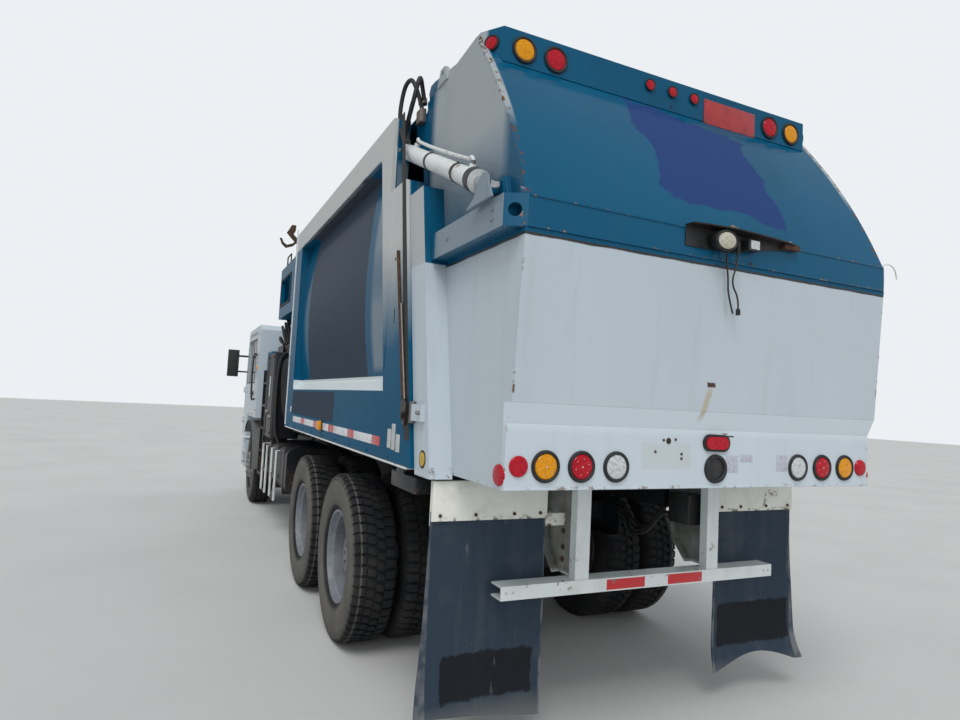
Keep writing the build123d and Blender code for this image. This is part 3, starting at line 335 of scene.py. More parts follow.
def weathered(finish, colour, rough, dirt=0.5, dust_top=1.2, streaks=0.35):
    """Fading, rain streaks, specks and road dust over a paint colour."""
    wear = finish.paint.wear
    clouds = finish.noise(1.1, 5.0)
    streak = finish.noise(1.0, 6.0, stretch=(9.0, 9.0, 0.55), rough=0.62)
    fine = finish.noise(38.0, 3.0)
    faded = finish.over(clouds, 0.52, 0.35) * 0.16 * dirt * wear
    colour = finish.blend(colour, rgb(finish.paint.dust, 0.75), faded)
    runs = finish.over(streak, 0.56, 0.16) * streaks * dirt * wear
    colour = finish.blend(colour, rgb(finish.paint.dust, 0.45), runs)
    low = finish.below(dust_top, 0.9)
    colour = finish.blend(colour, finish.paint.dust, (low * (0.35 + clouds * 0.9) * 0.75 * dirt).clamped())
    specks = finish.over(fine, 0.72, 0.03) * 0.5 * dirt
    colour = finish.blend(colour, rgb(finish.paint.dust, 0.3), specks)
    roughness = rough + low * 0.3 + finish.over(streak, 0.5, 0.3) * 0.14 + (clouds - 0.5) * 0.18
    finish.set(Roughness=roughness.clamped())
    return colour


def chipped(finish, colour, mask, bare=None, scale=26.0, amount=0.56):
    """Rust and bare primer where a mask marks an edge or a knock."""
    chip = finish.over(finish.noise(scale, 6.0, rough=0.7), amount, 0.035) * mask
    rim = finish.over(finish.noise(scale, 6.0, rough=0.7), amount - 0.035, 0.035) * mask
    colour = finish.blend(colour, rgb(finish.paint.rust, 0.55), (rim * 0.75 * finish.paint.wear).clamped())
    colour = finish.blend(colour, bare or finish.paint.rust, (chip * finish.paint.wear).clamped())
    return colour, chip


def orange_peel(finish, extra=None, strength=0.12):
    wave = finish.noise(2.2, 3.0) + finish.noise(220.0, 2.0) * 0.02
    if extra is not None:
        wave = wave + extra
    finish.bump(wave, strength, 0.01)


# Painted reflection: the pale sky mirrored in the teal gloss
PAINTED_SKY_SHEEN = (0.6, 0.61, 0.59)


def teal_paint():
    """Dark gloss paint, with the duller repaired patches of the side sheets and of the rear arc, and a painted
    reflection of the sky on the top rail, the upper rear post, the tailgate's upper sides and a stretch of side
    sheet.
    """
    finish = Finish("teal_paint", shine=0.0)
    edge_wobble = (finish.noise(3.0) - 0.5) * 0.05
    panel = (finish.between(finish.x + edge_wobble, -2.62, -0.62, 0.02) * finish.outside(1.0, 0.01)
             * (1.0 - finish.behind(-3.25, 0.01)))
    skirt = (finish.between(finish.x + edge_wobble, -2.05, -0.23, 0.02)
             * finish.between(finish.z, 1.4, 1.635, 0.02))
    panel = (panel * finish.between(finish.z, 1.71, 3.06, 0.01)).most(skirt * finish.outside(BODY_FLAT_Y, 0.01))
    fall = finish.y * -0.11 - 0.04
    lobes = (finish.noise(2.6, 5.0, rough=0.6) - 0.5) * 0.34
    rear = (finish.between(finish.y + lobes, -0.42, 0.345, 0.012)
            * finish.between(finish.z + fall + lobes * 0.7, 2.52, 3.118, 0.012) * finish.behind(-3.95, 0.02))
    patch = panel.most(rear).clamped()
    base = finish.blend(finish.paint.teal, rgb(finish.paint.teal, 0.72), finish.spots(0.8, 3.0, 0.5, 0.3))
    base = finish.blend(base, finish.paint.repair, rear.clamped() * 0.93)
    base = finish.blend(base, finish.paint.side_repair, panel.clamped() * 0.9)
    base = finish.blend(base, (0.68, 0.74, 0.75), ledge_mask(finish))
    # Painted reflection of the sky: pale over the top rail, the upper rear post, the tailgate's upper sides and
    # part of a side sheet, with a thinner coat there
    flat = finish.outside(BODY_FLAT_Y, 0.01)
    rail = finish.over(finish.z + edge_wobble * 0.5, 3.045, 0.02)
    post = finish.over(finish.z + edge_wobble * 4.0, 1.88, 0.6) * finish.behind(-2.9, 0.01)
    tail_side = (finish.over(finish.z, 2.35, 0.5) * finish.between(finish.x, -4.4, -3.43, 0.08)
                 * finish.between(finish.side, 1.05, 1.16, 0.01))
    sheet = (finish.between(finish.x, -3.22, -2.72, 0.08) * finish.between(finish.z, 1.75, 3.0, 0.05)
             * finish.between(finish.side, 1.1, 1.19, 0.01))
    sky_sheen = (rail.most(post) * flat * 0.92).most(tail_side * 0.62).most(sheet * 0.34).clamped()
    base = finish.blend(base, PAINTED_SKY_SHEEN, sky_sheen)
    colour = weathered(finish, base, 0.3, dirt=0.17, streaks=0.3)
    seam = finish.between(tail_rear(finish), -0.02, 0.014, 0.006) * finish.outside(1.06, 0.005)
    seam = seam * finish.behind(TAIL_FRONT_X, 0.05)
    knocks = seam.most(
        finish.between(abs(finish.z - BELT_TOP_Z), -0.01, 0.006, 0.003) * finish.behind(-4.5, 0.01))
    foot = finish.between(finish.z, SILL_FOOT_Z, 1.285, 0.01) * 0.8
    colour, chip = chipped(finish, colour, knocks.most(foot))
    finish.colour(colour)
    dull = finish.below(2.5, 1.1)
    finish.set(Coat_Weight=(0.5 - patch * 0.35 - dull * 0.3 - sky_sheen * 0.4).clamped())
    orange_peel(finish, chip * -0.02)
    return finish.material


def ledge_mask(finish):
    """The pale sloping ledge under the side sheets."""
    slope = finish.between(finish.z, 1.641, 1.735, 0.003) * finish.between(finish.side, 1.117, 1.2185, 0.001)
    return slope * finish.between(finish.x, -3.33, -0.2)


def white_paint():
    """White paint with rain streaks, and rust chips and a run of rust on the lower tailgate; a painted shadow
    lies under the belt and a painted highlight on the apron below the crease.
    """
    finish = Finish("white_paint", coat=0.25)
    soft_dirt = finish.over(finish.noise(0.9, stretch=(2.0, 2.0, 0.5)), 0.45, 0.4)
    base = finish.blend(finish.paint.white, rgb(finish.paint.white, 0.86), soft_dirt * 0.6)
    colour = weathered(finish, base, 0.36, dirt=0.32, dust_top=0.85, streaks=0.28)
    tail = finish.behind(TAIL_FRONT_X, 0.02)
    rim = finish.between(tail_rear(finish), -0.02, 0.009) * finish.outside(1.078, 0.004) * tail
    right = finish.between(finish.y, -1.09, -1.05, 0.02) * tail * finish.below(2.2, 0.9)
    foot = finish.between(finish.z, SILL_FOOT_Z, 1.282, 0.008) * tail
    foot = foot * finish.between(tail_rear(finish), -0.02, 0.012, 0.003).most(finish.outside(1.072, 0.004))
    colour, chip = chipped(finish, colour, rim.most(right * 0.8).most(foot), amount=0.6)
    clouds = finish.noise(7.0, 5.0)
    wobble = (finish.noise(14.0) - 0.5) * 0.03
    leaning = finish.y + finish.z * 0.25 + wobble * 0.6
    run = finish.between(leaning, 0.486, 0.528, 0.012) * finish.between(finish.z, 1.56, 1.735, 0.04) * tail
    head = finish.between(finish.y + wobble, 0.045, 0.1, 0.006) * tail
    head = head * finish.between(finish.z + wobble, 1.722, 1.746, 0.005)
    plate = (finish.between(finish.y + wobble, 0.135, 0.425, 0.01)
             * finish.between(finish.z + wobble, 1.345, 1.47, 0.01) * tail * finish.below(1.6, 0.01))
    colour = finish.blend(colour, (0.44, 0.455, 0.42), plate * (0.25 + clouds * 0.6))
    # Painted highlight: the apron below the crease is lightened, most in the band just under the crease, as if
    # lit from the bright ground
    apron = finish.below(CREASE_HIGH_Z, 0.006) * finish.behind(-4.45, 0.01)
    crease_highlight = finish.over(finish.z, 1.49, 0.05) * 0.4 + 0.2
    colour = finish.blend(colour, (0.8, 0.9, 0.97), apron * crease_highlight)
    # Painted shadow: a near-black line just below the belt
    belt_shadow = finish.over(finish.z + (clouds - 0.5) * 0.01, 2.262, 0.004) * tail
    colour = finish.blend(colour, (0.02, 0.024, 0.028), belt_shadow)
    colour = finish.blend(colour, (0.46, 0.33, 0.13), run * 0.6)
    colour = finish.blend(colour, rgb(finish.paint.rust, 0.35), head)
    finish.colour(colour)
    orange_peel(finish, chip * -0.015, strength=0.16)
    return finish.material


def column_paint():
    """Teal belt and column heads, white below the belt's foot, with a painted reflection of the sky on the
    outer faces of the column's arms and heads.
    """
    finish = Finish("column_paint", coat=0.35, shine=0.1)
    wobble = (finish.noise(6.0, 3.0) - 0.5) * 0.012
    white = finish.below(WHITE_TOP_Z + wobble, 0.004)
    # Painted reflection: the sky's sheen on the outer faces of the arms and heads
    arm = finish.outside(1.163, 0.001) * finish.behind(-3.78, 0.02) * 0.35
    head = finish.outside(1.197, 0.002) * 0.75
    base = finish.blend(finish.paint.teal, PAINTED_SKY_SHEEN, arm.most(head))
    base = finish.blend(base, finish.paint.white, white)
    colour = weathered(finish, base, 0.28, dirt=0.3, dust_top=1.1, streaks=0.25)
    belt = finish.behind(-4.52, 0.01) * finish.over(finish.z, 2.28, 0.002)
    lips = finish.between(abs(finish.z - 2.36), 0.055, 0.075, 0.003) * belt
    ends = finish.outside(1.06, 0.01) * belt
    foot = finish.between(finish.z, SILL_FOOT_Z, 1.3, 0.02)
    colour, chip = chipped(
        finish, colour, lips.most(ends * 0.75).most(foot), bare=(0.3, 0.24, 0.19), amount=0.6)
    finish.colour(colour)
    orange_peel(finish, chip * -0.015)
    return finish.material


def plain_paint(
        name, colour, rough, dirt=0.5, coat=0.2, chips=0.0, metal=0.0, dust_top=1.3, shine=0.5, streaks=0.35):
    """A painted or bare metal with dust, and with rusty chips spread evenly where asked."""
    finish = Finish(name, coat=coat, metal=metal, shine=shine)
    base = finish.blend(colour, rgb(colour, 0.7), finish.spots(5.0, 4.0, 0.5, 0.2) * 0.7)
    made = weathered(finish, base, rough, dirt=dirt, dust_top=dust_top, streaks=streaks)
    if chips:
        spread = finish.over(finish.noise(3.0, 3.0), 0.58 - chips * 0.12, 0.1)
        made, _ = chipped(finish, made, spread, scale=34.0, amount=0.57)
    finish.colour(made)
    orange_peel(finish, strength=0.2)
    return finish.material


def tyre_rubber():
    """Worn black rubber with grey dust in the tread and on the side walls."""
    finish = Finish("tyre_rubber", rough=0.8, shine=0.2)
    clouds = finish.noise(6.0, 5.0)
    fine = finish.noise(90.0, 3.0)
    colour = finish.blend((0.016, 0.017, 0.019), rgb(finish.paint.dust, 0.62),
                          finish.over(clouds, 0.42, 0.4) * 0.26)
    colour = finish.blend(colour, rgb(finish.paint.dust, 0.8), finish.over(fine, 0.62, 0.1) * 0.18)
    wall = finish.outside(1.222, 0.01).most(finish.between(finish.side, 1.178, 1.195, 0.008))
    colour = finish.blend(colour, rgb(finish.paint.dust, 0.95), wall * (0.35 + clouds * 0.5))
    finish.colour(colour)
    finish.set(Roughness=(0.68 + clouds * 0.25).clamped())
    finish.bump(fine + clouds * 2.0, 0.25, 0.0015)
    return finish.material


def flap_rubber():
    """Grey rubber with worn pale edges and a black painted-over rectangle low down."""
    finish = Finish("flap_rubber", rough=0.75, shine=0.25)
    clouds = finish.noise(4.0, 5.0)
    streak = finish.noise(1.0, 6.0, stretch=(12.0, 12.0, 0.9), rough=0.65)
    colour = finish.blend((0.026, 0.044, 0.068), (0.07, 0.086, 0.106), finish.over(streak, 0.5, 0.3) * 0.6)
    colour = finish.blend(colour, (0.13, 0.13, 0.125), finish.over(clouds, 0.55, 0.25) * 0.35)
    foot = finish.below(0.24, 0.1)
    colour = finish.blend(colour, (0.135, 0.135, 0.135), foot * 0.85)
    wobble = (finish.noise(16.0, 5.0, rough=0.7) - 0.5) * 0.05
    block = (finish.between(finish.side + wobble, 0.605, 1.095, 0.01)
             * finish.between(finish.z + wobble * 1.2, 0.225, 0.445, 0.012)
             * finish.over(finish.y, 0.0, 0.01))
    right = (finish.between(finish.side + wobble, 0.585, 1.15, 0.01)
             * finish.between(finish.z + wobble, 0.295, 0.535, 0.012)
             * finish.over(0.0 - finish.y, 0.0, 0.01))
    colour = finish.blend(colour, (0.007, 0.008, 0.011), block.most(right) * 0.93)
    rim = finish.outside(1.16, 0.006).most(finish.over(0.572 - finish.side, 0.0, 0.006))
    worn = rim * finish.spots(9.0, 5.0, 0.36, 0.25)
    colour = finish.blend(colour, (0.2, 0.205, 0.215), worn * 0.8)
    scuff = finish.over(finish.noise(2.0, 6.0, stretch=(5.0, 5.0, 0.9), rough=0.7), 0.63, 0.05)
    colour = finish.blend(colour, (0.22, 0.23, 0.24), scuff * 0.4)
    finish.colour(colour)
    finish.set(Roughness=(0.62 + clouds * 0.3).clamped())
    finish.bump(finish.noise(120.0, 3.0) + clouds, 0.3, 0.0015)
    return finish.material


def bar_paint():
    """White paint of the underride bar, made brighter than the white paint as painted light where the bar lies
    in shade under the body, with its bent side plates grey with road dirt.
    """
    finish = Finish("bar_paint", coat=0.15)
    # Painted light: a brighter copy of the white paint, standing in for sunlight on the bar
    base = finish.clouded((0.74, 0.79, 0.785), (0.62, 0.67, 0.66), 6.0, 4.0, 0.45, 0.3)
    plate = finish.over(finish.x, -4.01, 0.01) * finish.over(finish.z, 0.77, 0.02) * finish.outside(0.3, 0.01)
    dirt = plate * (0.55 + finish.noise(9.0, 5.0) * 0.75)
    colour = weathered(finish, base, 0.42, dirt=0.3, dust_top=0.8)
    colour = finish.blend(colour, (0.105, 0.105, 0.085), dirt.clamped() * 0.92)
    colour, chip = chipped(finish, colour, finish.spots(5.0, 3.0, 0.6, 0.08), scale=30.0, amount=0.58)
    finish.colour(colour)
    orange_peel(finish, chip * -0.015)
    return finish.material


def floor_steel():
    """Load floor: worn bare steel with rust above; below the skin it is near black, a painted shade under the
    body.
    """
    finish = Finish("floor_steel", shine=0.3)
    clouds = finish.noise(2.5, 6.0, rough=0.65)
    steel = finish.blend((0.12, 0.105, 0.09), (0.2, 0.19, 0.18), finish.over(clouds, 0.42, 0.25))
    steel = finish.blend(steel, (0.1, 0.045, 0.022), finish.spots(7.0, 5.0, 0.55, 0.12) * 0.7)
    # Painted shade: near black below the floor's skin, where the body's underside lies in shadow
    base = finish.blend(steel, (0.01, 0.012, 0.016), finish.below(FLOOR_SKIN_Z, 0.002))
    finish.colour(weathered(finish, base, 0.5, dirt=0.35, dust_top=0.9))
    orange_peel(finish, strength=0.2)
    return finish.material


def hanger_paint():
    """Chipped cream paint over rust on the flap hangers."""
    finish = Finish("hanger_paint")
    base = finish.clouded((0.8, 0.8, 0.73), (0.66, 0.66, 0.58), 7.0, 4.0, 0.5, 0.2)
    colour = weathered(finish, base, 0.5, dirt=0.38, dust_top=0.9)
    edge = finish.below(1.075, 0.03).most(finish.spots(5.0, 3.0, 0.6, 0.06))
    colour, chip = chipped(finish, colour, edge, bare=(0.05, 0.035, 0.025), scale=22.0, amount=0.55)
    finish.colour(colour)
    finish.bump(chip * -1.0 + finish.noise(60.0, 3.0) * 0.2, 0.3)
    return finish.material


def lens(name, colour, deep):
    """A gloss lens with a fine pattern of cells, a little dusty."""
    finish = Finish(name, rough=0.14, coat=0.35, shine=0.15)
    grid = finish.cells(95.0)
    colour = finish.blend(colour, deep, finish.over(grid, 0.35, 0.4) * 0.5)
    dull = finish.noise(20.0)
    finish.colour(finish.blend(colour, (0.3, 0.28, 0.25), finish.over(dull, 0.6, 0.2) * 0.08))
    finish.set(Roughness=(0.12 + dull * 0.2).clamped())
    finish.bump(grid, 0.35)
    return finish.material


def tape(name, colour):
    """One colour of reflective tape, scuffed."""
    finish = Finish(name, rough=0.35, coat=0.4)
    worn = finish.spots(24.0, 5.0, 0.58, 0.05)
    finish.colour(finish.blend(colour, (0.2, 0.17, 0.15), worn * 0.55))
    finish.bump(finish.cells(260.0), 0.25, 0.0006)
    return finish.material


def glass():
    """Tinted panes with a little dust."""
    finish = Finish("window_glass", rough=0.06, coat=0.5)
    dusty = finish.noise(3.0, 5.0)
    finish.colour(finish.blend((0.035, 0.055, 0.06), (0.16, 0.17, 0.17), finish.over(dusty, 0.55, 0.3) * 0.4))
    finish.set(Roughness=(0.05 + dusty * 0.12).clamped(), Alpha=(0.55 + dusty * 0.2).clamped())
    return finish.material


def door_paint():
    """White door; its pane, set back inside, is tinted glass."""
    finish = Finish("door_paint", coat=0.3)
    pane = (finish.between(finish.side, 1.1815, 1.1885, 0.0004)
            * finish.between(finish.x, WINDOW_REAR_X - 0.002, WINDOW_FRONT_X, 0.001)
            * finish.between(finish.z, WINDOW_LOW_Z + 0.002, WINDOW_HIGH_Z - 0.002, 0.001))
    base = weathered(finish, finish.paint.white, 0.32, dirt=0.4, dust_top=1.25)
    finish.colour(finish.blend(base, (0.03, 0.045, 0.05), pane))
    finish.set(Roughness=(0.34 - pane * 0.28).clamped())
    orange_peel(finish, strength=0.08)
    return finish.material


def rim_paint():
    """Grey wheel paint, dusty, with rust by the holes and hub."""
    finish = Finish("rim_paint", coat=0.15)
    base = finish.clouded((0.19, 0.212, 0.25), (0.14, 0.16, 0.19), 9.0, 4.0, 0.5, 0.2)
    colour = weathered(finish, base, 0.45, dust_top=1.0)
    inside = finish.over(0.8 - finish.side, 0.0, 0.02)
    colour = finish.blend(colour, (0.13, 0.06, 0.03), inside * finish.spots(12.0, 5.0, 0.4, 0.2))
    colour, chip = chipped(finish, colour, finish.spots(4.0, 3.0, 0.5, 0.1), scale=40.0, amount=0.6)
    finish.colour(colour)
    finish.bump(finish.noise(60.0, 3.0) * 0.5 - chip, 0.2, 0.001)
    return finish.material


def simple(name, colour, rough, second, metal=0.0, scale=30.0, bump=0.15, coat=0.0):
    """A small part's finish: two close tones in a fine grain."""
    finish = Finish(name, coat=coat, metal=metal)
    grain = finish.noise(scale)
    finish.colour(finish.blend(colour, second, finish.over(grain, 0.42, 0.25)))
    finish.set(Roughness=(rough + (grain - 0.5) * 0.25).clamped())
    finish.bump(grain, bump, 0.001)
    return finish.material


FINISHES = {}


# Parts whose finish differs from that of their slot in the record
OWN_FINISHES = {"tail_frame": "column_paint", "body_floor": "floor_steel", "flap_hangers": "hanger_paint",
                "underride_bumper": "bar_paint", "door_left": "door_paint", "door_right": "door_paint",
                "cab_interior": "seat", "wire_plug": "black_plastic", "mirrors": "black_plastic",
                "lift_boom": "pale_paint", "axle_beams": "chassis_black"}


def make_finishes():
    """Fill the finishes by name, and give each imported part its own."""
    FINISHES.update(
        teal_paint=teal_paint(), white_paint=white_paint(), column_paint=column_paint(),
        door_paint=door_paint(), tyre=tyre_rubber(), flap_rubber=flap_rubber(),
        hanger_paint=hanger_paint(), bar_paint=bar_paint(),
        floor_steel=floor_steel(), rim_paint=rim_paint(), glass=glass(),
        tape_red=tape("tape_red", (0.56, 0.012, 0.018)), tape_white=tape("tape_white", (0.7, 0.73, 0.76)),
        chassis_black=plain_paint("chassis_black", (0.01, 0.012, 0.016), 0.5, dirt=0.42, chips=0.35,
                                  dust_top=0.85, shine=0.2, streaks=0.12),
        bare_steel=plain_paint("bare_steel", (0.26, 0.25, 0.24), 0.4, chips=0.6, metal=0.8, coat=0.0),
        cast_iron=plain_paint("cast_iron", (0.06, 0.06, 0.062), 0.6, dirt=0.8, chips=0.4, metal=0.3, coat=0.0),
        worn_steel=plain_paint("worn_steel", (0.22, 0.2, 0.18), 0.42, chips=0.9, metal=0.7, coat=0.0),
        pale_paint=plain_paint("pale_paint", (0.75, 0.78, 0.77), 0.4, dirt=0.28, chips=0.12),
        grey_plastic=plain_paint("grey_plastic", (0.12, 0.125, 0.13), 0.6, dirt=0.7, coat=0.0),
        chrome=simple("chrome_rod", (0.62, 0.63, 0.64), 0.12, metal=1.0, second=(0.5, 0.5, 0.5), bump=0.03),
        black_rubber=simple("black_rubber", (0.012, 0.012, 0.013), 0.62, second=(0.025, 0.025, 0.025)),
        black_plastic=simple("black_plastic", (0.016, 0.017, 0.018), 0.42, second=(0.03, 0.03, 0.03)),
        wire_jacket=simple("wire_jacket", (0.012, 0.012, 0.012), 0.45, second=(0.03, 0.028, 0.026),
                           scale=120.0),
        zinc=simple("zinc_fastener", (0.32, 0.31, 0.29), 0.42, metal=0.8, second=(0.16, 0.11, 0.07),
                    scale=60.0),
        rusty=simple("rusty_iron", (0.1, 0.05, 0.028), 0.8, metal=0.3, second=(0.045, 0.028, 0.02), bump=0.4),
        grease=simple("greasy_iron", (0.02, 0.018, 0.016), 0.4, metal=0.4, second=(0.05, 0.035, 0.025),
                      bump=0.3),
        mirror=simple("mirror_glass", (0.55, 0.6, 0.62), 0.05, metal=1.0, second=(0.5, 0.55, 0.57), bump=0.0),
        seat=simple("seat_cloth", (0.045, 0.05, 0.06), 0.85, second=(0.03, 0.032, 0.04), scale=200.0, bump=0.3),
        blank_plate=simple("blank_plate", (0.42, 0.03, 0.035), 0.35, second=(0.3, 0.02, 0.025), scale=14.0,
                           coat=0.4),
        red_lens=lens("red_lens", (0.52, 0.006, 0.022), (0.2, 0.002, 0.008)),
        amber_lens=lens("amber_lens", (0.8, 0.33, 0.006), (0.52, 0.17, 0.002)),
        clear_lens=lens("clear_lens", (0.62, 0.66, 0.67), (0.3, 0.33, 0.35)),
        pale_dot=simple("diode_dot", (0.66, 0.6, 0.48), 0.25, second=(0.5, 0.42, 0.3)),
        label=simple("bare_label", (0.58, 0.6, 0.6), 0.5, second=(0.46, 0.47, 0.46), scale=20.0, bump=0.05),
        sticker=simple("bare_sticker", (0.5, 0.54, 0.62), 0.5, second=(0.44, 0.4, 0.48), scale=60.0, bump=0.05),
        straw_lens=lens("work_lens", (0.58, 0.56, 0.46), (0.34, 0.32, 0.25)),
        yellow_lens=lens("yellow_lens", (0.6, 0.4, 0.03), (0.36, 0.22, 0.01)))
    by_slot = {entry["node"]: entry["material_slot"] for entry in frame["record"]["subparts"]}
    for name, node in frame["nodes"].items():
        finish = FINISHES[OWN_FINISHES.get(name, by_slot[name])]
        node.data.materials.clear()
        node.data.materials.append(finish)


# Mesh building

SHARP_ANGLE = 35.0


class Piece:
    """Gathers solids into one mesh whose place is in its points."""

    def __init__(self, name):
        self.name, self.mesh, self.finishes = name, bmesh.new(), []

    def use(self, finish):
        if finish not in self.finishes:
            self.finishes.append(finish)
        return self.finishes.index(finish)

    def add(self, points, faces, finish, smooth=True):
        index = self.use(finish)
        made = [self.mesh.verts.new(p) for p in points]
        for face in faces:
            new = self.mesh.faces.new([made[i] for i in face])
            new.material_index, new.smooth = index, smooth
        return made

    def block(self, low, high, finish, bevel=0.003):
        """A box with softened edges."""
        (x0, x1), (y0, y1), (z0, z1) = (sorted(pair) for pair in zip(low, high))
        points = [(x, y, z) for x in (x0, x1) for y in (y0, y1) for z in (z0, z1)]
        faces = [(0, 1, 3, 2), (4, 6, 7, 5), (0, 4, 5, 1), (2, 3, 7, 6), (0, 2, 6, 4), (1, 5, 7, 3)]
        made = self.add(points, faces, finish, smooth=False)
        edges = list({e for v in made for e in v.link_edges})
        rounded = bmesh.ops.bevel(self.mesh, geom=edges, offset=bevel, segments=2, affect="EDGES", profile=0.6)
        for face in rounded["faces"]:
            face.material_index, face.smooth = self.use(finish), True

    def prism(self, outline, start, end, finish, axis="y"):
        """A plate cut to an outline of two coordinates, between two places on the axis."""
        count = len(outline)
        start, end = sorted((start, end))
        place = {"x": lambda a, b, c: (c, a, b), "y": lambda a, b, c: (a, c, b),
                 "z": lambda a, b, c: (a, b, c)}[axis]
        points = [place(a, b, c) for c in (start, end) for a, b in outline]
        sides = [(i, (i + 1) % count, (i + 1) % count + count, i + count) for i in range(count)]
        self.add(
            points, [tuple(range(count))[::-1], tuple(range(count, 2 * count))] + sides, finish, smooth=False)

    def turned(self, section, centre, axis, finish, count=32):
        """A solid of revolution from (distance along the axis, radius) pairs, with flat ends to the axis."""
        axis, first, second = axes_about(axis)
        if section[0][1]:
            section = [(section[0][0], 0)] + section
        if section[-1][1]:
            section = section + [(section[-1][0], 0)]
        rings, points, faces = [], [], []
        for along, radius in section:
            base = Vector(centre) + axis * along
            if radius == 0:
                rings.append([len(points)])
                points.append(base)
            else:
                rings.append(list(range(len(points), len(points) + count)))
                points += [base + (first * c + second * s) * radius for c, s in circle(count)]
        for lower, upper in zip(rings[:-1], rings[1:]):
            for k in range(count):
                corners = [lower[k % len(lower)], lower[(k + 1) % len(lower)],
                           upper[(k + 1) % len(upper)], upper[k % len(upper)]]
                face = list(dict.fromkeys(corners))
                if len(face) > 2:
                    faces.append(face)
        return self.add(points, faces, finish)

    def hoop(self, section, centre, axis, finish, count=48):
        """A closed ring: the section of (along, radius) pairs is itself closed."""
        axis, first, second = axes_about(axis)
        size = len(section)
        points = []
        for c, s in circle(count):
            out = first * c + second * s
            points += [Vector(centre) + axis * along + out * radius for along, radius in section]
        faces = []
        for k in range(count):
            n = (k + 1) % count
            for i in range(size):
                j = (i + 1) % size
                faces.append((k * size + i, k * size + j, n * size + j, n * size + i))
        self.add(points, faces, finish)

    def tube(self, points, radius, finish, count=10, smooth_steps=5):
        """A round pipe or hose along a smooth line through the points."""
        line = smooth_line([Vector(p) for p in points], smooth_steps)
        side = (line[1] - line[0]).orthogonal().normalized()
        rows, faces = [], []
        for i, p in enumerate(line):
            along = (line[min(i + 1, len(line) - 1)] - line[max(i - 1, 0)]).normalized()
            side = (side - along * side.dot(along)).normalized()
            up = along.cross(side)
            rows += [p + (side * c + up * s) * radius for c, s in circle(count)]
        for i in range(len(line) - 1):
            for k in range(count):
                n = (k + 1) % count
                faces.append((i * count + k, i * count + n, (i + 1) * count + n, (i + 1) * count + k))
        last = (len(line) - 1) * count
        faces += [tuple(range(count))[::-1], tuple(range(last, last + count))]
        self.add(rows, faces, finish)

    def sheet(self, rows, depth, finish):
        """A thin bent sheet through rows of points, thickened along a depth."""
        wide, tall, depth = len(rows[0]), len(rows), Vector(depth)
        front = [Vector(p) for row in rows for p in row]
        points = front + [p + depth for p in front]
        size = wide * tall
        faces = []
        for r in range(tall - 1):
            for c in range(wide - 1):
                a = r * wide + c
                faces.append((a, a + 1, a + 1 + wide, a + wide))
                faces.append((a + size, a + wide + size, a + wide + 1 + size, a + 1 + size))
        rim = list(range(wide)) + [r * wide + wide - 1 for r in range(1, tall)]
        rim += [(tall - 1) * wide + c for c in range(wide - 2, -1, -1)]
        rim += [r * wide for r in range(tall - 2, 0, -1)]
        for a, b in zip(rim, rim[1:] + rim[:1]):
            faces.append((b, a, a + size, b + size))
        self.add(points, faces, finish)

    def pill(self, centre, half, start, end, finish):
        """A plate with round ends, wider along Y, between two places on X."""
        y, z = centre
        across, up = half
        outline = [(y + (across - up if c > 0 else up - across) + up * c, z + up * s) for c, s in circle(20)]
        self.prism(outline, start, end, finish, "x")

    def frame(self, points, radius, finish):
        """A pipe bent at sharp corners."""
        self.tube(points, radius, finish, 8, 1)

    def bolt(self, place, axis, radius, finish, height=None, washer=True):
        """A hexagon head on a washer."""
        height = height or radius * 0.7
        axis = Vector(axis).normalized()
        if washer:
            self.turned([(0, radius * 1.35), (height * 0.25, radius * 1.35)], place, axis, finish, 16)
        self.turned(
            [(0, radius), (height, radius * 0.96), (height * 1.12, radius * 0.7)], place, axis, finish, 6)

    def done(self, body, slot=None, angle=SHARP_ANGLE):
        """Clean the mesh, make the object and let it ride on its body."""
        return riding(self.name, self.data(), [FINISHES[finish] for finish in self.finishes], body, angle)

    def data(self):
        bmesh.ops.recalc_face_normals(self.mesh, faces=self.mesh.faces)
        return mesh_data(self.name, self.mesh)


def smooth_line(points, steps):
    """Catmull-Rom line through the points."""
    if len(points) < 3:
        return points
    ends = [points[0] * 2 - points[1]] + points + [points[-1] * 2 - points[-2]]
    line = []
    for a, b, c, d in zip(ends, ends[1:], ends[2:], ends[3:]):
        for k in range(steps):
            t = k / steps
            line.append(0.5 * ((2 * b) + (c - a) * t + (2 * a - 5 * b + 4 * c - d) * t * t
                               + (3 * b - a - 3 * c + d) * t ** 3))
    return line + [points[-1]]


# Geometry Nodes

class Tree:
    """A geometry tree with named inputs."""

    def __init__(self, name, inputs):
        self.group = bpy.data.node_groups.new(name, "GeometryNodeTree")
        self.group.interface.new_socket("Geometry", in_out="INPUT", socket_type="NodeSocketGeometry")
        for label, kind, default in inputs:
            socket = self.group.interface.new_socket(label, in_out="INPUT", socket_type=kind)
            if default is not None:
                socket.default_value = default
        self.group.interface.new_socket("Geometry", in_out="OUTPUT", socket_type="NodeSocketGeometry")
        self.source = self.group.nodes.new("NodeGroupInput")
        self.sink = self.group.nodes.new("NodeGroupOutput")

    def node(self, kind, values=(), **settings):
        return add_node(self.group, kind, values, **settings)

    def give(self, geometry, finish_socket):
        real = self.node("GeometryNodeRealizeInstances", {0: geometry})
        painted = self.node("GeometryNodeSetMaterial", {"Geometry": real.outputs[0], "Material": finish_socket})
        self.group.links.new(painted.outputs[0], self.sink.inputs[0])


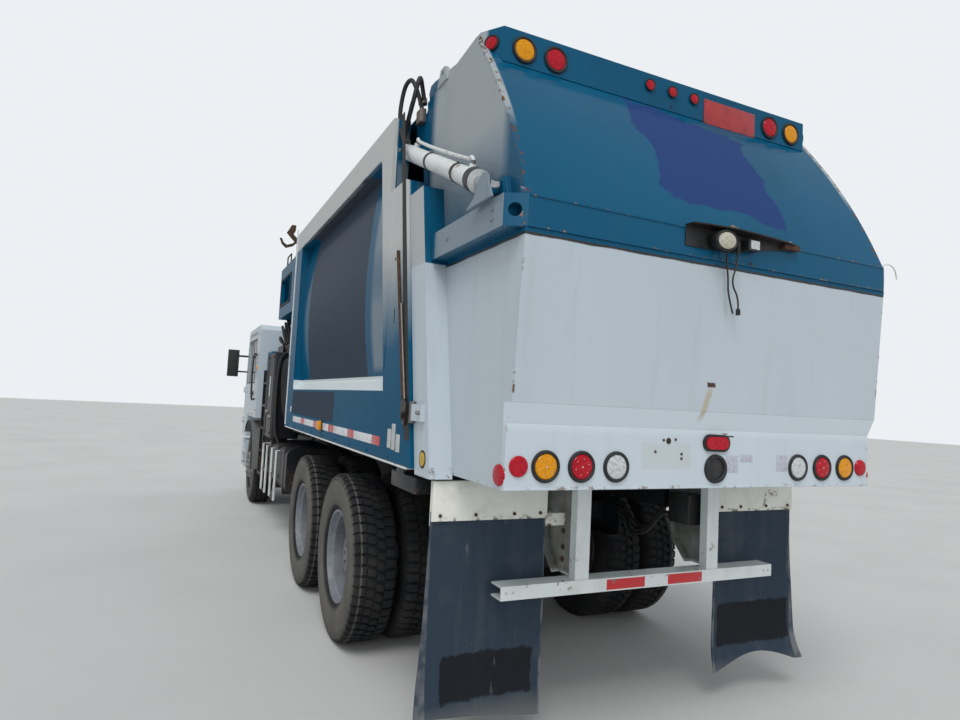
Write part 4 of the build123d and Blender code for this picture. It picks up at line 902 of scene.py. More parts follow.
def ring_tree():
    """Copies of one shape set round the Y axis, tilted as a whole and moved to a place."""
    tree = Tree("ring_of_shapes", [("Shape", "NodeSocketObject", None), ("Count", "NodeSocketInt", 10),
                                   ("Radius", "NodeSocketFloat", 0.14), ("Centre", "NodeSocketVector", None),
                                   ("First turn", "NodeSocketFloat", 0.0), ("Tilt", "NodeSocketVector", None),
                                   ("Finish", "NodeSocketMaterial", None)])
    given = tree.source.outputs
    points = tree.node("GeometryNodePoints", {"Count": given["Count"]})
    index = tree.node("GeometryNodeInputIndex")
    step = tree.node("ShaderNodeMath", {0: 2 * math.pi, 1: given["Count"]}, operation="DIVIDE")
    angle = tree.node("ShaderNodeMath", {0: index.outputs[0], 1: step.outputs[0], 2: given["First turn"]},
                      operation="MULTIPLY_ADD")
    turn = tree.node("ShaderNodeCombineXYZ", {1: angle.outputs[0]})
    shape = tree.node("GeometryNodeObjectInfo", {"Object": given["Shape"]})
    lifted = tree.node("ShaderNodeCombineXYZ", {2: given["Radius"]})
    raised = tree.node(
        "GeometryNodeTransform", {"Geometry": shape.outputs["Geometry"], "Translation": lifted.outputs[0]})
    copies = tree.node("GeometryNodeInstanceOnPoints",
                       {"Points": points.outputs[0], "Instance": raised.outputs[0],
                        "Rotation": turn.outputs[0]})
    moved = tree.node("GeometryNodeTransform",
                      {"Geometry": copies.outputs[0], "Translation": given["Centre"],
                       "Rotation": given["Tilt"]})
    tree.give(moved.outputs[0], given["Finish"])
    return tree.group


def row_tree():
    """Copies of one shape along a straight line from a first to a last place."""
    tree = Tree("row_of_shapes", [("Shape", "NodeSocketObject", None), ("Count", "NodeSocketInt", 5),
                                  ("First", "NodeSocketVector", None), ("Step", "NodeSocketVector", None),
                                  ("Finish", "NodeSocketMaterial", None)])
    given = tree.source.outputs
    line = tree.node("GeometryNodeMeshLine",
                     {"Count": given["Count"], "Start Location": given["First"],
                      "Offset": given["Step"]}, mode="OFFSET")
    shape = tree.node("GeometryNodeObjectInfo", {"Object": given["Shape"]})
    copies = tree.node(
        "GeometryNodeInstanceOnPoints", {"Points": line.outputs[0], "Instance": shape.outputs["Geometry"]})
    tree.give(copies.outputs[0], given["Finish"])
    return tree.group


def grown(name, group, settings_list, body):
    """Run a tree once for each group of settings, and join the results into one mesh on a body."""
    gathered = bmesh.new()
    finishes = []
    for settings in settings_list:
        carrier = placed(name + "_source", bpy.data.meshes.new(name + "_source"))
        modifier = carrier.modifiers.new("grow", "NODES")
        modifier.node_group = group
        for item in group.interface.items_tree:
            if item.in_out == "INPUT" and item.name in settings:
                modifier[item.identifier] = settings[item.name]
        bpy.context.view_layer.update()
        evaluated = carrier.evaluated_get(bpy.context.evaluated_depsgraph_get())
        result = bpy.data.meshes.new_from_object(evaluated)
        carrier.modifiers.remove(modifier)
        before = len(gathered.faces)
        gathered.from_mesh(result)
        gathered.faces.ensure_lookup_table()
        if settings["Finish"] not in finishes:
            finishes.append(settings["Finish"])
        for face in gathered.faces[before:]:
            face.material_index = finishes.index(settings["Finish"])
        bpy.data.meshes.remove(result)
        bpy.data.objects.remove(carrier)
    return riding(name, mesh_data(name, gathered), finishes, body, SHARP_ANGLE)


def ring_of(shape, count, radius, centre, turn, finish, tilt=(0, 0, 0)):
    """The settings for one ring of a shape."""
    return {"Shape": shape, "Count": count, "Radius": radius, "Centre": centre, "First turn": turn,
            "Tilt": tilt, "Finish": FINISHES[finish]}


def shape_source(name, build):
    """A shape for the trees to copy; it is removed after use."""
    piece = Piece(name)
    build(piece)
    return placed(name, piece.data())


def discard(*sources):
    for source in sources:
        bpy.data.objects.remove(source)


# Camera, floor and light

CAMERA_PLACE = (-6.7279, 2.2685, 1.6025)
CAMERA_YAW, CAMERA_PITCH, CAMERA_ROLL = -0.4389, 0.0659, 0.0502
CAMERA_LENS = 24.22


class TRUCK_OT_stage(bpy.types.Operator):
    """Set the camera at the photograph's angle, with a plain floor and soft light"""
    bl_idname = "truck.stage"
    bl_label = "Stage"

    def execute(self, context):
        scene = context.scene
        ahead = Vector((math.cos(CAMERA_YAW) * math.cos(CAMERA_PITCH),
                        math.sin(CAMERA_YAW) * math.cos(CAMERA_PITCH), math.sin(CAMERA_PITCH)))
        level = ahead.cross(Vector(UPWARDS)).normalized()
        above = level.cross(ahead)
        right = level * math.cos(CAMERA_ROLL) + above * math.sin(CAMERA_ROLL)
        up = above * math.cos(CAMERA_ROLL) - level * math.sin(CAMERA_ROLL)
        data = bpy.data.cameras.new("photo_camera")
        data.sensor_width, data.lens, data.clip_end = 36.0, CAMERA_LENS, 200.0
        camera = placed("photo_camera", data)
        camera.matrix_world = Matrix((right, up, -ahead)).transposed().to_4x4()
        camera.location = CAMERA_PLACE
        scene.camera = camera
        self.floor(scene)
        self.lights(scene)
        scene.view_settings.view_transform = "Standard"
        return {"FINISHED"}

    def floor(self, scene):
        finish = Finish("floor", rough=0.85)
        grain = finish.noise(0.6, 5.0)
        colour = scene.truck_stage.floor
        finish.colour(finish.blend(colour, rgb(colour, 0.93), finish.over(grain, 0.4, 0.3)))
        mesh = bmesh.new()
        bmesh.ops.create_grid(mesh, x_segments=1, y_segments=1, size=60.0)
        data = mesh_data("floor", mesh)
        data.materials.append(finish.material)
        placed("floor", data)

    def lights(self, scene):
        settings = scene.truck_stage
        world = bpy.data.worlds.new("even_light")
        world.use_nodes = True
        tree = world.node_tree
        tree.nodes.clear()
        seen = add_node(tree, "ShaderNodeBackground", {0: (0.84, 0.87, 0.9), 1: 1.0})
        shed = add_node(tree, "ShaderNodeBackground", {0: (0.93, 0.97, 1.0), 1: settings.sky})
        path = add_node(tree, "ShaderNodeLightPath").outputs
        either = add_node(tree, "ShaderNodeMath", {0: path["Is Camera Ray"], 1: path["Is Transmission Ray"]},
                          operation="MAXIMUM")
        mixed = add_node(tree, "ShaderNodeMixShader",
                         {0: either.outputs[0], 1: shed.outputs[0], 2: seen.outputs[0]})
        add_node(tree, "ShaderNodeOutputWorld", {0: mixed.outputs[0]})
        scene.world = world
        for name, towards, strength, spread in (("key", (0.55, -0.38, -1.0), settings.sun, 28.0),
                                                ("rear_fill", (1.0, -0.25, -0.35), settings.sun * 0.35, 40.0)):
            data = bpy.data.lights.new(name, "SUN")
            data.energy, data.angle = strength, math.radians(spread)
            lamp = placed(name, data)
            lamp.rotation_mode = "QUATERNION"
            lamp.rotation_quaternion = Vector(towards).normalized().to_track_quat("-Z", "Y")


# Loose wires under the work lamp

WIRE_X = BELT_X - 0.024
GLAND_Z = 2.335
# Points of each wire from its gland: along X, across Y and down Z, as in the part's source
PLUG_WIRE = [(0, -0.004, 0), (0, -0.004, -0.044), (-0.01, 0.034, -0.106), (-0.008, 0.034, -0.152),
             (0, -0.012, -0.2), (0, -0.012, -0.248)]
BARE_WIRE = [(0, 0.064, 0), (0, 0.064, -0.05), (0.01, 0.042, -0.118), (0.006, 0.046, -0.19),
             (0, 0.02, -0.276)]
PLUG_WIRE_LENGTH = 0.272
BARE_WIRE_LENGTH = 0.282


class TRUCK_OT_wires(bpy.types.Operator):
    """Hang the two loose wires and the plug below the work lamp"""
    bl_idname = "truck.wires"
    bl_label = "Loose wires"

    def execute(self, context):
        width = context.scene.truck_fittings.wire_width
        plug = self.plug()
        for name, route, length, end, pieces in (
                ("lamp_wire_a", PLUG_WIRE, PLUG_WIRE_LENGTH, "connector", [plug]),
                ("lamp_wire_b", BARE_WIRE, BARE_WIRE_LENGTH, "bare", [])):
            points = [(WIRE_X + dx, y, GLAND_Z + dz) for dx, y, dz in route]
            curve = bpy.data.curves.new(name, "CURVE")
            curve.dimensions, curve.bevel_depth, curve.bevel_resolution = "3D", width / 2, 3
            curve.resolution_u, curve.use_fill_caps = 12, True
            spline = curve.splines.new("NURBS")
            spline.points.add(len(points) - 1)
            for target, place in zip(spline.points, points):
                target.co = (*place, 1.0)
            spline.order_u = 3
            spline.use_endpoint_u = True
            curve.materials.append(FINISHES["wire_jacket"])
            wire = placed(name, curve)
            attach(wire, "tailgate")
            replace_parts(wire, "lamp_wire_plugged" if pieces else "lamp_wire_bare")
        return {"FINISHED"}

    def plug(self):
        dx, y, dz = PLUG_WIRE[-1]
        x, z = WIRE_X + dx, GLAND_Z + dz
        piece = Piece("wire_connector")
        piece.block(
            (x - 0.0075, y - 0.0075, z - 0.032), (x + 0.0075, y + 0.0075, z - 0.004), "black_plastic", 0.002)
        piece.turned(
            [(0, 0.0045), (-0.006, 0.006), (-0.008, 0)], (x, y, z + 0.002), UPWARDS, "black_rubber", 12)
        for side in (1, -1):
            piece.block((x - 0.009, y + side * 0.0045 - 0.0015, z - 0.026),
                        (x - 0.007, y + side * 0.0045 + 0.0015, z - 0.01), "black_plastic", 0.0006)
        made = piece.done("tailgate", "wire_jacket")
        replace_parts(made, "wire_plug")
        return made


# Lamps of the tailgate

LAMP_Z = 1.36
BAR_LAMP_Z = 3.268
LENS_RADIUS = 0.0525
GROMMET_RADIUS = 0.066
# Distance from the middle plane, lens colour
LOWER_LAMPS = ((0.554, "clear_lens"), (0.73, "red_lens"), (0.902, "amber_lens"))
UPPER_LAMPS = ((0.722, "red_lens"), (0.895, "amber_lens"))


def round_lamp(piece, place, towards, finish, radius=LENS_RADIUS, rim=GROMMET_RADIUS):
    """A domed lens, in a black rubber grommet where the rim is wider than the lens."""
    if rim > radius:
        piece.hoop([(-0.004, radius - 0.001), (0.008, radius - 0.001), (0.012, radius + 0.004),
                    (0.011, rim - 0.003), (0.005, rim), (-0.004, rim)], place, towards, "black_rubber", 40)
    piece.turned([(-0.003, radius), (0.005, radius), (0.01, radius * 0.9), (0.0125, radius * 0.5),
                  (0.0133, 0)], place, towards, finish, 36)


class TRUCK_OT_lamps(bpy.types.Operator):
    """Fit the round lamps in their grommets, the oval lamp, the reflectors and the blank plate"""
    bl_idname = "truck.lamps"
    bl_label = "Tail lamps"

    def execute(self, context):
        piece = Piece("tail_lamp_set")
        for side in (1, -1):
            for y, finish in LOWER_LAMPS:
                round_lamp(piece, (APRON_X, side * y, LAMP_Z), BEHIND, finish)
            for y, finish in UPPER_LAMPS:
                round_lamp(piece, (LIGHT_BAR_X, side * y, BAR_LAMP_Z), BEHIND, finish)
            round_lamp(piece, (APRON_X, side * 1.026, LAMP_Z), BEHIND, "red_lens", 0.042, 0.0)
            round_lamp(
                piece, (-4.0695, side * 1.0405, 3.285), (-0.558, side * 0.83, 0), "red_lens", 0.032, 0.041)
            round_lamp(piece, (-4.442, side * 1.087, 1.322), (0, side, 0), "red_lens", 0.043, 0.0)
            self.reflector(piece, side)
        for y in (-0.15, 0.0, 0.15):
            round_lamp(piece, (LIGHT_BAR_X, y, 3.293), BEHIND, "red_lens", 0.027, 0.03)
        self.middle(piece)
        self.plate(piece)
        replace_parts(piece.done("tailgate", "red_lens"), "tail_lamps")
        if context.scene.truck_fittings.lens_dots:
            self.dots()
        return {"FINISHED"}

    def reflector(self, piece, side):
        """Yellow reflector in a rusty ring low on the column."""
        place = (-3.875, side * 1.2002, 1.326)
        piece.turned([(-0.002, 0.043), (0.0015, 0.042), (0.002, 0)], place, (0, side, 0), "rusty", 28)
        piece.turned(
            [(0, 0.033), (0.004, 0.032), (0.006, 0.02), (0.0062, 0)], place, (0, side, 0), "yellow_lens", 28)

    def middle(self, piece):
        """Oval lamp over an unlit round one, and the old plate's screws and hole."""
        x = APRON_X
        piece.pill((-0.008, 1.471), (0.08, 0.04), x - 0.012, x + 0.004, "black_rubber")
        piece.pill((-0.008, 1.471), (0.068, 0.029), x - 0.0165, x - 0.011, "red_lens")
        piece.hoop([(-0.004, 0.048), (0.008, 0.048), (0.013, 0.053), (0.012, 0.064), (-0.004, 0.068)],
                   (x, -0.008, LAMP_Z - 0.007), BEHIND, "black_rubber", 40)
        piece.turned([(-0.003, 0.049), (0.003, 0.049), (0.006, 0.035), (0.004, 0.012)],
                     (x, -0.008, LAMP_Z - 0.007), BEHIND, "black_plastic")
        piece.turned([(-0.002, 0.015), (0.001, 0.014)], (x, 0.271, 1.475), BEHIND, "rusty", 20)
        piece.turned([(0, 0.009), (0.0016, 0.009)], (x, 0.271, 1.475), BEHIND, "black_rubber", 16)
        for y, z in ((0.345, 1.427), (0.196, 1.418), (0.196, 1.398), (0.232, 1.482), (0.3, 1.478)):
            piece.bolt((x, y, z), BEHIND, 0.006, "rusty", washer=False)
        for y0, z0, y1, z1 in ((-0.12, 1.5, 0.02, 1.506), (-0.08, 1.512, -0.05, 1.516)):
            piece.block((x - 0.0008, y0, z0), (x + 0.001, y1, z1), "rusty", 0.0003)

    def plate(self, piece):
        """Blank red plate on the light bar."""
        x = LIGHT_BAR_X
        piece.block((x - 0.005, -0.602, 3.18), (x + 0.001, -0.223, 3.315), "blank_plate", 0.0015)
        for y in (-0.59, -0.235):
            for z in (3.19, 3.305):
                piece.bolt((x - 0.005, y, z), BEHIND, 0.005, "zinc", washer=False)
        piece.turned([(-0.001, 0.008), (0.001, 0.008)], (x, 0.0, 3.215), BEHIND, "black_rubber", 12)

    def dots(self):
        ring = ring_tree()
        outline = [(0, 0.0062), (0.0016, 0.005), (0.002, 0)]
        dot = shape_source("diode", lambda p: p.turned(outline, (0, 0, 0), (0, -1, 0), "pale_dot", 8))
        settings = []
        for side in (1, -1):
            for y, _ in LOWER_LAMPS:
                for count, radius in ((6, 0.03), (1, 0.0)):
                    centre = (APRON_X - 0.0115 + radius * 0.05, side * y, LAMP_Z)
                    settings.append(ring_of(dot, count, radius, centre, 0.2, "pale_dot", (0, 0, -math.pi / 2)))
        grown("lamp_diodes", ring, settings, "tailgate")
        discard(dot)


class TRUCK_OT_work_lamp(bpy.types.Operator):
    """Fit the oval work lamp on its tapering bracket, with a small square lamp beside it"""
    bl_idname = "truck.work_lamp"
    bl_label = "Work lamp"

    def execute(self, context):
        piece = Piece("work_lamp_set")
        x = BELT_X
        back = [(0.29, 2.427), (0.29, 2.338), (0.19, 2.336), (0.02, 2.342), (-0.12, 2.365), (-0.23, 2.388),
                (-0.41, 2.408), (-0.41, 2.427)]
        piece.prism(back, x - 0.006, x + 0.0005, "black_plastic", "x")
        top = [(x, 0.29), (x, -0.41), (x - 0.024, -0.4), (x - 0.048, -0.3), (x - 0.07, -0.1), (x - 0.078, 0.06),
               (x - 0.066, 0.2), (x - 0.05, 0.285)]
        piece.prism(top, 2.427, 2.433, "grease", "z")
        body = self.oval(piece,
                         [(0.004, 0.03), (0.022, 0.04), (0.058, 0.047), (0.07, 0.046), (0.074, 0.04),
                          (0.068, 0.037), (0.064, 0.037), (0.06, 0)], "black_rubber")
        lens_part = self.oval(
            piece, [(0.058, 0.037), (0.071, 0.0365), (0.0765, 0.026), (0.078, 0)], "straw_lens")
        for made in (body, lens_part):
            bmesh.ops.scale(piece.mesh, vec=(1, 1.42, 1), verts=made, space=Matrix.Translation((0, -0.109, 0)))
        piece.block((x - 0.052, -0.115, 2.356), (x - 0.006, -0.04, 2.408), "black_plastic", 0.006)
        piece.block((x - 0.056, -0.106, 2.362), (x - 0.051, -0.052, 2.402), "clear_lens", 0.004)
        piece.block((x - 0.058, 0.03, 2.43), (x - 0.028, 0.08, 2.446), "zinc", 0.002)
        piece.bolt((x - 0.043, 0.055, 2.446), UPWARDS, 0.011, "zinc")
        piece.bolt((x - 0.03, -0.33, 2.433), UPWARDS, 0.01, "zinc")
        piece.block((x - 0.03, -0.405, 2.405), (x - 0.004, -0.3, 2.428), "rusty")
        for route in (PLUG_WIRE, BARE_WIRE):
            piece.turned([(0, 0.012), (-0.03, 0.01), (-0.055, 0.006)], (WIRE_X, route[0][1], GLAND_Z + 0.054),
                         UPWARDS, "black_rubber", 14)
        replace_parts(piece.done("tailgate", "chassis_black"), "work_lamp")
        return {"FINISHED"}

    def oval(self, piece, section, finish):
        return piece.turned(section, (BELT_X, 0.109, 2.38), (-1, 0, -0.12), finish)


# Fittings of the tailgate, its hinge and its cylinders

class TRUCK_OT_tail_fittings(bpy.types.Operator):
    """Add pins, lugs, the latch, folded lips, stickers and a bent rod to the tailgate"""
    bl_idname = "truck.tail_fittings"
    bl_label = "Tailgate fittings"

    def execute(self, context):
        piece = Piece("tailgate_fittings")
        for side in (1, -1):
            self.side(piece, side)
        # Folded lips along the belt and the foot of the apron, a plug in the belt, and stickers
        piece.block((BELT_X - 0.004, -1.074, 2.416), (BELT_X + 0.004, 1.074, 2.4255), "column_paint", 0.002)
        piece.block((BELT_X - 0.003, -1.074, 2.294), (BELT_X + 0.004, 1.074, 2.303), "column_paint", 0.002)
        piece.block((APRON_X - 0.0035, -1.085, 1.266), (APRON_X + 0.004, 1.085, 1.276), "white_paint", 0.0015)
        piece.turned([(0, 0.012), (0.002, 0.011)], (BELT_X, -0.11, 2.303), BEHIND, "rusty", 14)
        for y0, z0, y1, z1 in (
                (-0.15, 1.335, -0.075, 1.415), (-0.245, 1.385, -0.165, 1.42), (-0.48, 1.34, -0.405, 1.42)):
            piece.block((APRON_X - 0.0008, y0, z0), (APRON_X + 0.001, y1, z1), "sticker", 0.0003)
        # Thin bent rod at the right end of the belt
        piece.tube([(-4.49, -1.16, 2.425), (-4.5, -1.185, 2.462), (-4.505, -1.235, 2.468),
                    (-4.508, -1.272, 2.44), (-4.509, -1.285, 2.395)], 0.0035, "pale_paint", 8)
        piece.done("tailgate", "pale_paint")
        return {"FINISHED"}

    def side(self, piece, side):
        out = (0, side, 0)
        piece.bolt((-4.382, side * 1.178, 2.487), out, 0.022, "grease", height=0.016)
        for x, z in ((-4.42, 2.34), (-4.42, 2.38), (-3.95, 2.36)):
            piece.bolt((x, side * 1.1645, z), out, 0.009, "column_paint", washer=False)
        # Latch roller, and a stud on the block at the seam
        piece.turned([(-0.052, 0.016), (0.052, 0.016)], (-3.735, side * 1.213, 1.54), UPWARDS, "worn_steel", 20)
        piece.turned([(0, 0.01), (0.018, 0.009)], (-3.86, side * 1.222, 1.54), out, "zinc", 14)
        # Cheeks of the lug beside the cylinder's eye
        for y in (1.106, 1.186):
            piece.prism([(-4.47, 2.42), (-4.225, 2.42), (-4.3, 2.455), (-4.345, 2.525), (-4.382, 2.542),
                         (-4.42, 2.525), (-4.436, 2.48)], side * y, side * (y + 0.01), "column_paint")


# Middle line of each tail cylinder at rest, from its body pivot down to its lug
ANCHOR = Vector((-3.25, 1.155, 3.015))
ALONG = Vector((-0.9063, 0, -0.4227))
ABOVE = Vector((-0.4227, 0, 0.9063))


def on_cylinder(side, along, above=0.0, out=0.0):
    place = ANCHOR + ALONG * along + ABOVE * above
    return Vector((place.x, side * (place.y + out), place.z))


class TRUCK_OT_cylinders(bpy.types.Operator):
    """Add ports, pipes, clamps and glands to the tail cylinders, and the hoses by the hinge"""
    bl_idname = "truck.cylinders"
    bl_label = "Tail cylinders"

    def execute(self, context):
        for side, name in SIDES:
            self.barrel(side, name)
            self.hoses(side, name)
        return {"FINISHED"}

    def barrel(self, side, name):
        piece = Piece("cylinder_fittings_" + name)
        for along in (0.14, 1.0):
            piece.turned([(0.04, 0.016), (0.062, 0.015)], on_cylinder(side, along), ABOVE, "pale_paint", 14)
            piece.turned([(0.06, 0.011), (0.078, 0.011)], on_cylinder(side, along), ABOVE, "zinc", 6)
        pipe = ((1.0, 0.072), (0.97, 0.088), (0.9, 0.075), (0.5, 0.07, 0.004), (0.22, 0.075, 0.008),
                (0.16, 0.086, 0.006), (0.14, 0.076))
        piece.tube([on_cylinder(side, *place) for place in pipe], 0.009, "pale_paint")
        for along in (0.45, 0.86):
            piece.hoop([(-0.012, 0.0445), (0.012, 0.0445), (0.012, 0.048), (-0.012, 0.048)],
                       on_cylinder(side, along), ALONG, "grease", 32)
            piece.bolt(on_cylinder(side, along, 0.046, 0.018), ABOVE, 0.008, "zinc", washer=False)
        piece.hoop([(-0.035, 0.0445), (0.03, 0.0445), (0.034, 0.05), (0.03, 0.0545), (-0.028, 0.0545),
                    (-0.035, 0.05)], on_cylinder(side, 1.075), ALONG, "black_plastic", 36)
        piece.turned(
            [(-0.001, 0.012), (0.006, 0.011)], on_cylinder(side, 0.0, 0.0, 0.051), (0, side, 0), "zinc", 16)
        piece.done("barrel_" + name, "pale_paint")

    def hoses(self, side, name):
        piece = Piece("hinge_hoses_" + name)
        for points in (((-3.225, 1.172, 3.085), (-3.15, 1.178, 3.17), (-3.128, 1.18, 3.3),
                        (-3.165, 1.172, 3.425), (-3.245, 1.16, 3.442), (-3.3, 1.14, 3.36),
                        (-3.318, 1.112, 3.255), (-3.3, 1.094, 3.19)),
                       ((-3.248, 1.182, 3.09), (-3.31, 1.19, 3.15), (-3.395, 1.19, 3.25), (-3.418, 1.176, 3.35),
                        (-3.38, 1.15, 3.395), (-3.335, 1.122, 3.37), (-3.315, 1.098, 3.3)),
                       ((-3.215, 1.15, 3.08), (-3.19, 1.15, 3.18), (-3.235, 1.148, 3.29), (-3.25, 1.125, 3.37),
                        (-3.245, 1.096, 3.33))):
            piece.tube([(x, side * y, z) for x, y, z in points], 0.0125, "black_rubber")
            for end in (points[0], points[-1]):
                piece.turned([(-0.018, 0.017), (0.018, 0.017)], (end[0], side * end[1], end[2]), (0.3, 0, 1),
                             "zinc", 6)
        piece.block(
            (-3.345, side * 1.11 - 0.018, 3.17), (-3.27, side * 1.11 + 0.018, 3.25), "worn_steel", 0.006)
        piece.done("chassis", "chassis_black")


# Mud flaps and underride bar

FLAP_X = -3.945
FLAP_TOP_Z = 1.095


class TRUCK_OT_flaps(bpy.types.Operator):
    """Hang the wavy mud flaps under their bolted strips, and put tape on the bar"""
    bl_idname = "truck.flaps"
    bl_label = "Flaps and bar"

    def execute(self, context):
        flaps, strips = Piece("rubber_flaps"), Piece("flap_strips")
        for side in (1, -1):
            self.flap(flaps, side)
            self.strip(strips, side)
        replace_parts(flaps.done("chassis", "flap_rubber"), "mud_flaps")
        strips.done("chassis", "white_paint")
        self.bar()
        return {"FINISHED"}

    def flap(self, piece, side):
        """Wider towards the foot, where it also curls; the right one curls up more."""
        curl = 0.045 if side > 0 else 0.1
        rows = []
        for r in range(25):
            t = r / 24
            row = []
            for c in range(19):
                u = c / 18
                y = 0.56 + 0.61 * u + 0.045 * u * t * t
                foot = 0.115 + 0.08 * u
                if side < 0:
                    foot += 0.075 * math.sin(math.pi * min(1.0, u * 1.1)) + 0.05 * (1 - u)
                z = FLAP_TOP_Z + (foot - FLAP_TOP_Z) * t
                wave = 0.01 * math.sin(2.2 * math.pi * u + 1.2) * t + 0.005 * math.sin(5 * t + 4 * u)
                x = FLAP_X - wave * min(1.0, 2 * t) - curl * max(0.0, t - 0.8) ** 2 * 14 * (0.4 + 0.6 * u)
                row.append((x, side * y, z))
            rows.append(row)
        piece.sheet(rows, (0.009, 0, 0), "flap_rubber")

    def strip(self, piece, side):
        piece.block((FLAP_X - 0.0135, side * 0.56, 1.052), (FLAP_X - 0.0005, side * 1.17, 1.2345),
                    "hanger_paint", 0.0015)
        for y in (0.6, 0.745, 0.95, 1.13):
            piece.bolt((FLAP_X - 0.0135, side * y, 1.078), BEHIND, 0.009, "rusty", washer=False)

    def bar(self):
        piece = Piece("bar_tape")
        x = UNDERRIDE_X
        for y0, y1, finish in (
                (0.04, 0.276, "tape_red"), (-0.11, 0.04, "tape_white"), (-0.342, -0.11, "tape_red")):
            piece.block((x - 0.0012, y0, 0.715), (x + 0.0005, y1, 0.765), finish, 0.0003)
        for y in (0.835, 0.8, -0.8, -0.835):
            piece.bolt((x, y, 0.742), BEHIND, 0.006, "white_paint", washer=False)
        for side in (1, -1):
            for z in (0.84, 0.9, 0.98, 1.02):
                piece.bolt((-3.93, side * 0.442, z), (0, side, 0), 0.011, "rusty")
            piece.block((-3.975, side * 0.335, 0.985), (-3.815, side * 0.4306, 1.15), "black_plastic", 0.008)
            for k in range(3):
                z, y = 1.03 + 0.04 * k, side * (0.36 + 0.02 * k)
                piece.tube([(-3.82, y, z), (-3.74, y, z - 0.02), (-3.66, y - side * 0.04, 0.9 + 0.03 * k),
                            (-3.5, y - side * 0.02, 0.86 + 0.02 * k), (-3.34, side * 0.405, 0.93 + 0.03 * k),
                            (-3.22, side * 0.415, 0.94 + 0.03 * k)], 0.01, "black_rubber")
        piece.done("chassis", "white_paint")


# Wheels

def wheel_of(node):
    low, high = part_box(node)
    return (Vector(low) + Vector(high)) / 2


REAR_WHEEL, MID_WHEEL, STEER_WHEEL = (
    wheel_of(n) for n in ("rear_tyres_left", "mid_tyres_left", "steer_tyre_left"))
DUALS = (("rear", REAR_WHEEL), ("mid", MID_WHEEL))
TREAD_RADIUS = 0.54
DUAL_SHIFT = 0.1675
# Distance from the middle plane of the faces that carry nuts and bolts
DUAL_NUT_Y, HUB_BOLT_Y, STEER_NUT_Y = 0.9675, 1.1375, 1.2125
# Side wall of one tyre from the tread's edge to the bead, as (offset along the axle, radius)
SIDE_WALL = [(0.122, 0.519), (0.133, 0.5), (0.1385, 0.478), (0.1405, 0.474), (0.143, 0.452), (0.1445, 0.42),
             (0.144, 0.385), (0.1425, 0.379), (0.1425, 0.373), (0.1405, 0.367), (0.133, 0.335),
             (0.124, 0.316), (0.116, 0.306), (0.106, 0.3015)]


def carcass_section(tread):
    """Closed section of a tyre: one side wall, the tread's points, and the other side wall."""
    left = [(-a, r) for a, r in SIDE_WALL[::-1]]
    return left + tread + SIDE_WALL


class TRUCK_OT_tyres(bpy.types.Operator):
    """Build each tyre's carcass and grow its tread blocks round it"""
    bl_idname = "truck.tyres"
    bl_label = "Tyres"

    def execute(self, context):
        settings = context.scene.truck_wheels
        deep = TREAD_RADIUS - settings.lug_height
        ring = ring_tree()
        sources = [shape_source("shoulder_lug", lambda p: self.shoulder(p, deep, 1)),
                   shape_source("shoulder_lug_inner", lambda p: self.shoulder(p, deep, -1)),
                   shape_source("middle_lug", lambda p: self.middle(p, deep))]
        flat = [(-0.104, deep + 0.001), (0.104, deep + 0.001)]
        for axle, wheel in DUALS:
            for side, name in SIDES:
                body = f"{axle}_wheels_{name}"
                piece = Piece(f"{axle}_carcasses_{name}")
                rows = []
                for shift in (-DUAL_SHIFT, DUAL_SHIFT):
                    centre = Vector((wheel.x, side * (wheel.y + shift), wheel.z))
                    piece.hoop(carcass_section(flat), centre, (0, 1, 0), "tyre", 72)
                    rows += self.rows(sources, settings.lugs, centre)
                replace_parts(piece.done(body, "tyre", 50), f"{axle}_tyres_{name}")
                grown(f"{axle}_tread_{name}", ring, rows, body)
        discard(*sources)
        self.steer_tyres()
        return {"FINISHED"}

    def rows(self, sources, count, centre):
        pitch = 2 * math.pi / count
        outer, inner, middle = sources
        places = ((outer, 0.0, 0.0), (inner, 0.0, 0.5), (middle, -0.029, 0.25), (middle, 0.029, 0.75))
        return [ring_of(shape, count, 0.0, centre + Vector((0, shift, 0)), pitch * turn, "tyre")
                for shape, shift, turn in places]

    def shoulder(self, piece, deep, side):
        """A block that wraps over the tyre's shoulder."""
        section = [(0.06, deep - 0.004), (0.06, TREAD_RADIUS), (0.11, TREAD_RADIUS - 0.001), (0.1265, 0.528),
                   (0.1365, 0.503), (0.133, 0.498), (0.12, deep - 0.012)]
        piece.prism([(side * y, z) for y, z in section], -0.0225, 0.0225, "tyre", "x")

    def middle(self, piece, deep):
        outline = [
            (-0.024, -0.025), (0.004, -0.025), (0.02, -0.01), (0.024, 0.016), (0.018, 0.025), (-0.012, 0.025)]
        piece.prism(outline, deep - 0.004, TREAD_RADIUS, "tyre", "z")

    def steer_tyres(self):
        rib = [(-0.104, 0.5385)]
        for y in (-0.062, 0.0, 0.062):
            rib += [(y - 0.009, 0.54), (y - 0.006, 0.527), (y + 0.006, 0.527), (y + 0.009, 0.54)]
        rib.append((0.104, 0.5385))
        for side, name in SIDES:
            piece = Piece("ribbed_tyre_" + name)
            piece.hoop(carcass_section(rib), (STEER_WHEEL.x, side * STEER_WHEEL.y, STEER_WHEEL.z), (0, 1, 0),
                       "tyre", 84)
            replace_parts(piece.done("steer_wheel_" + name, "tyre", 40), "steer_tyre_" + name)


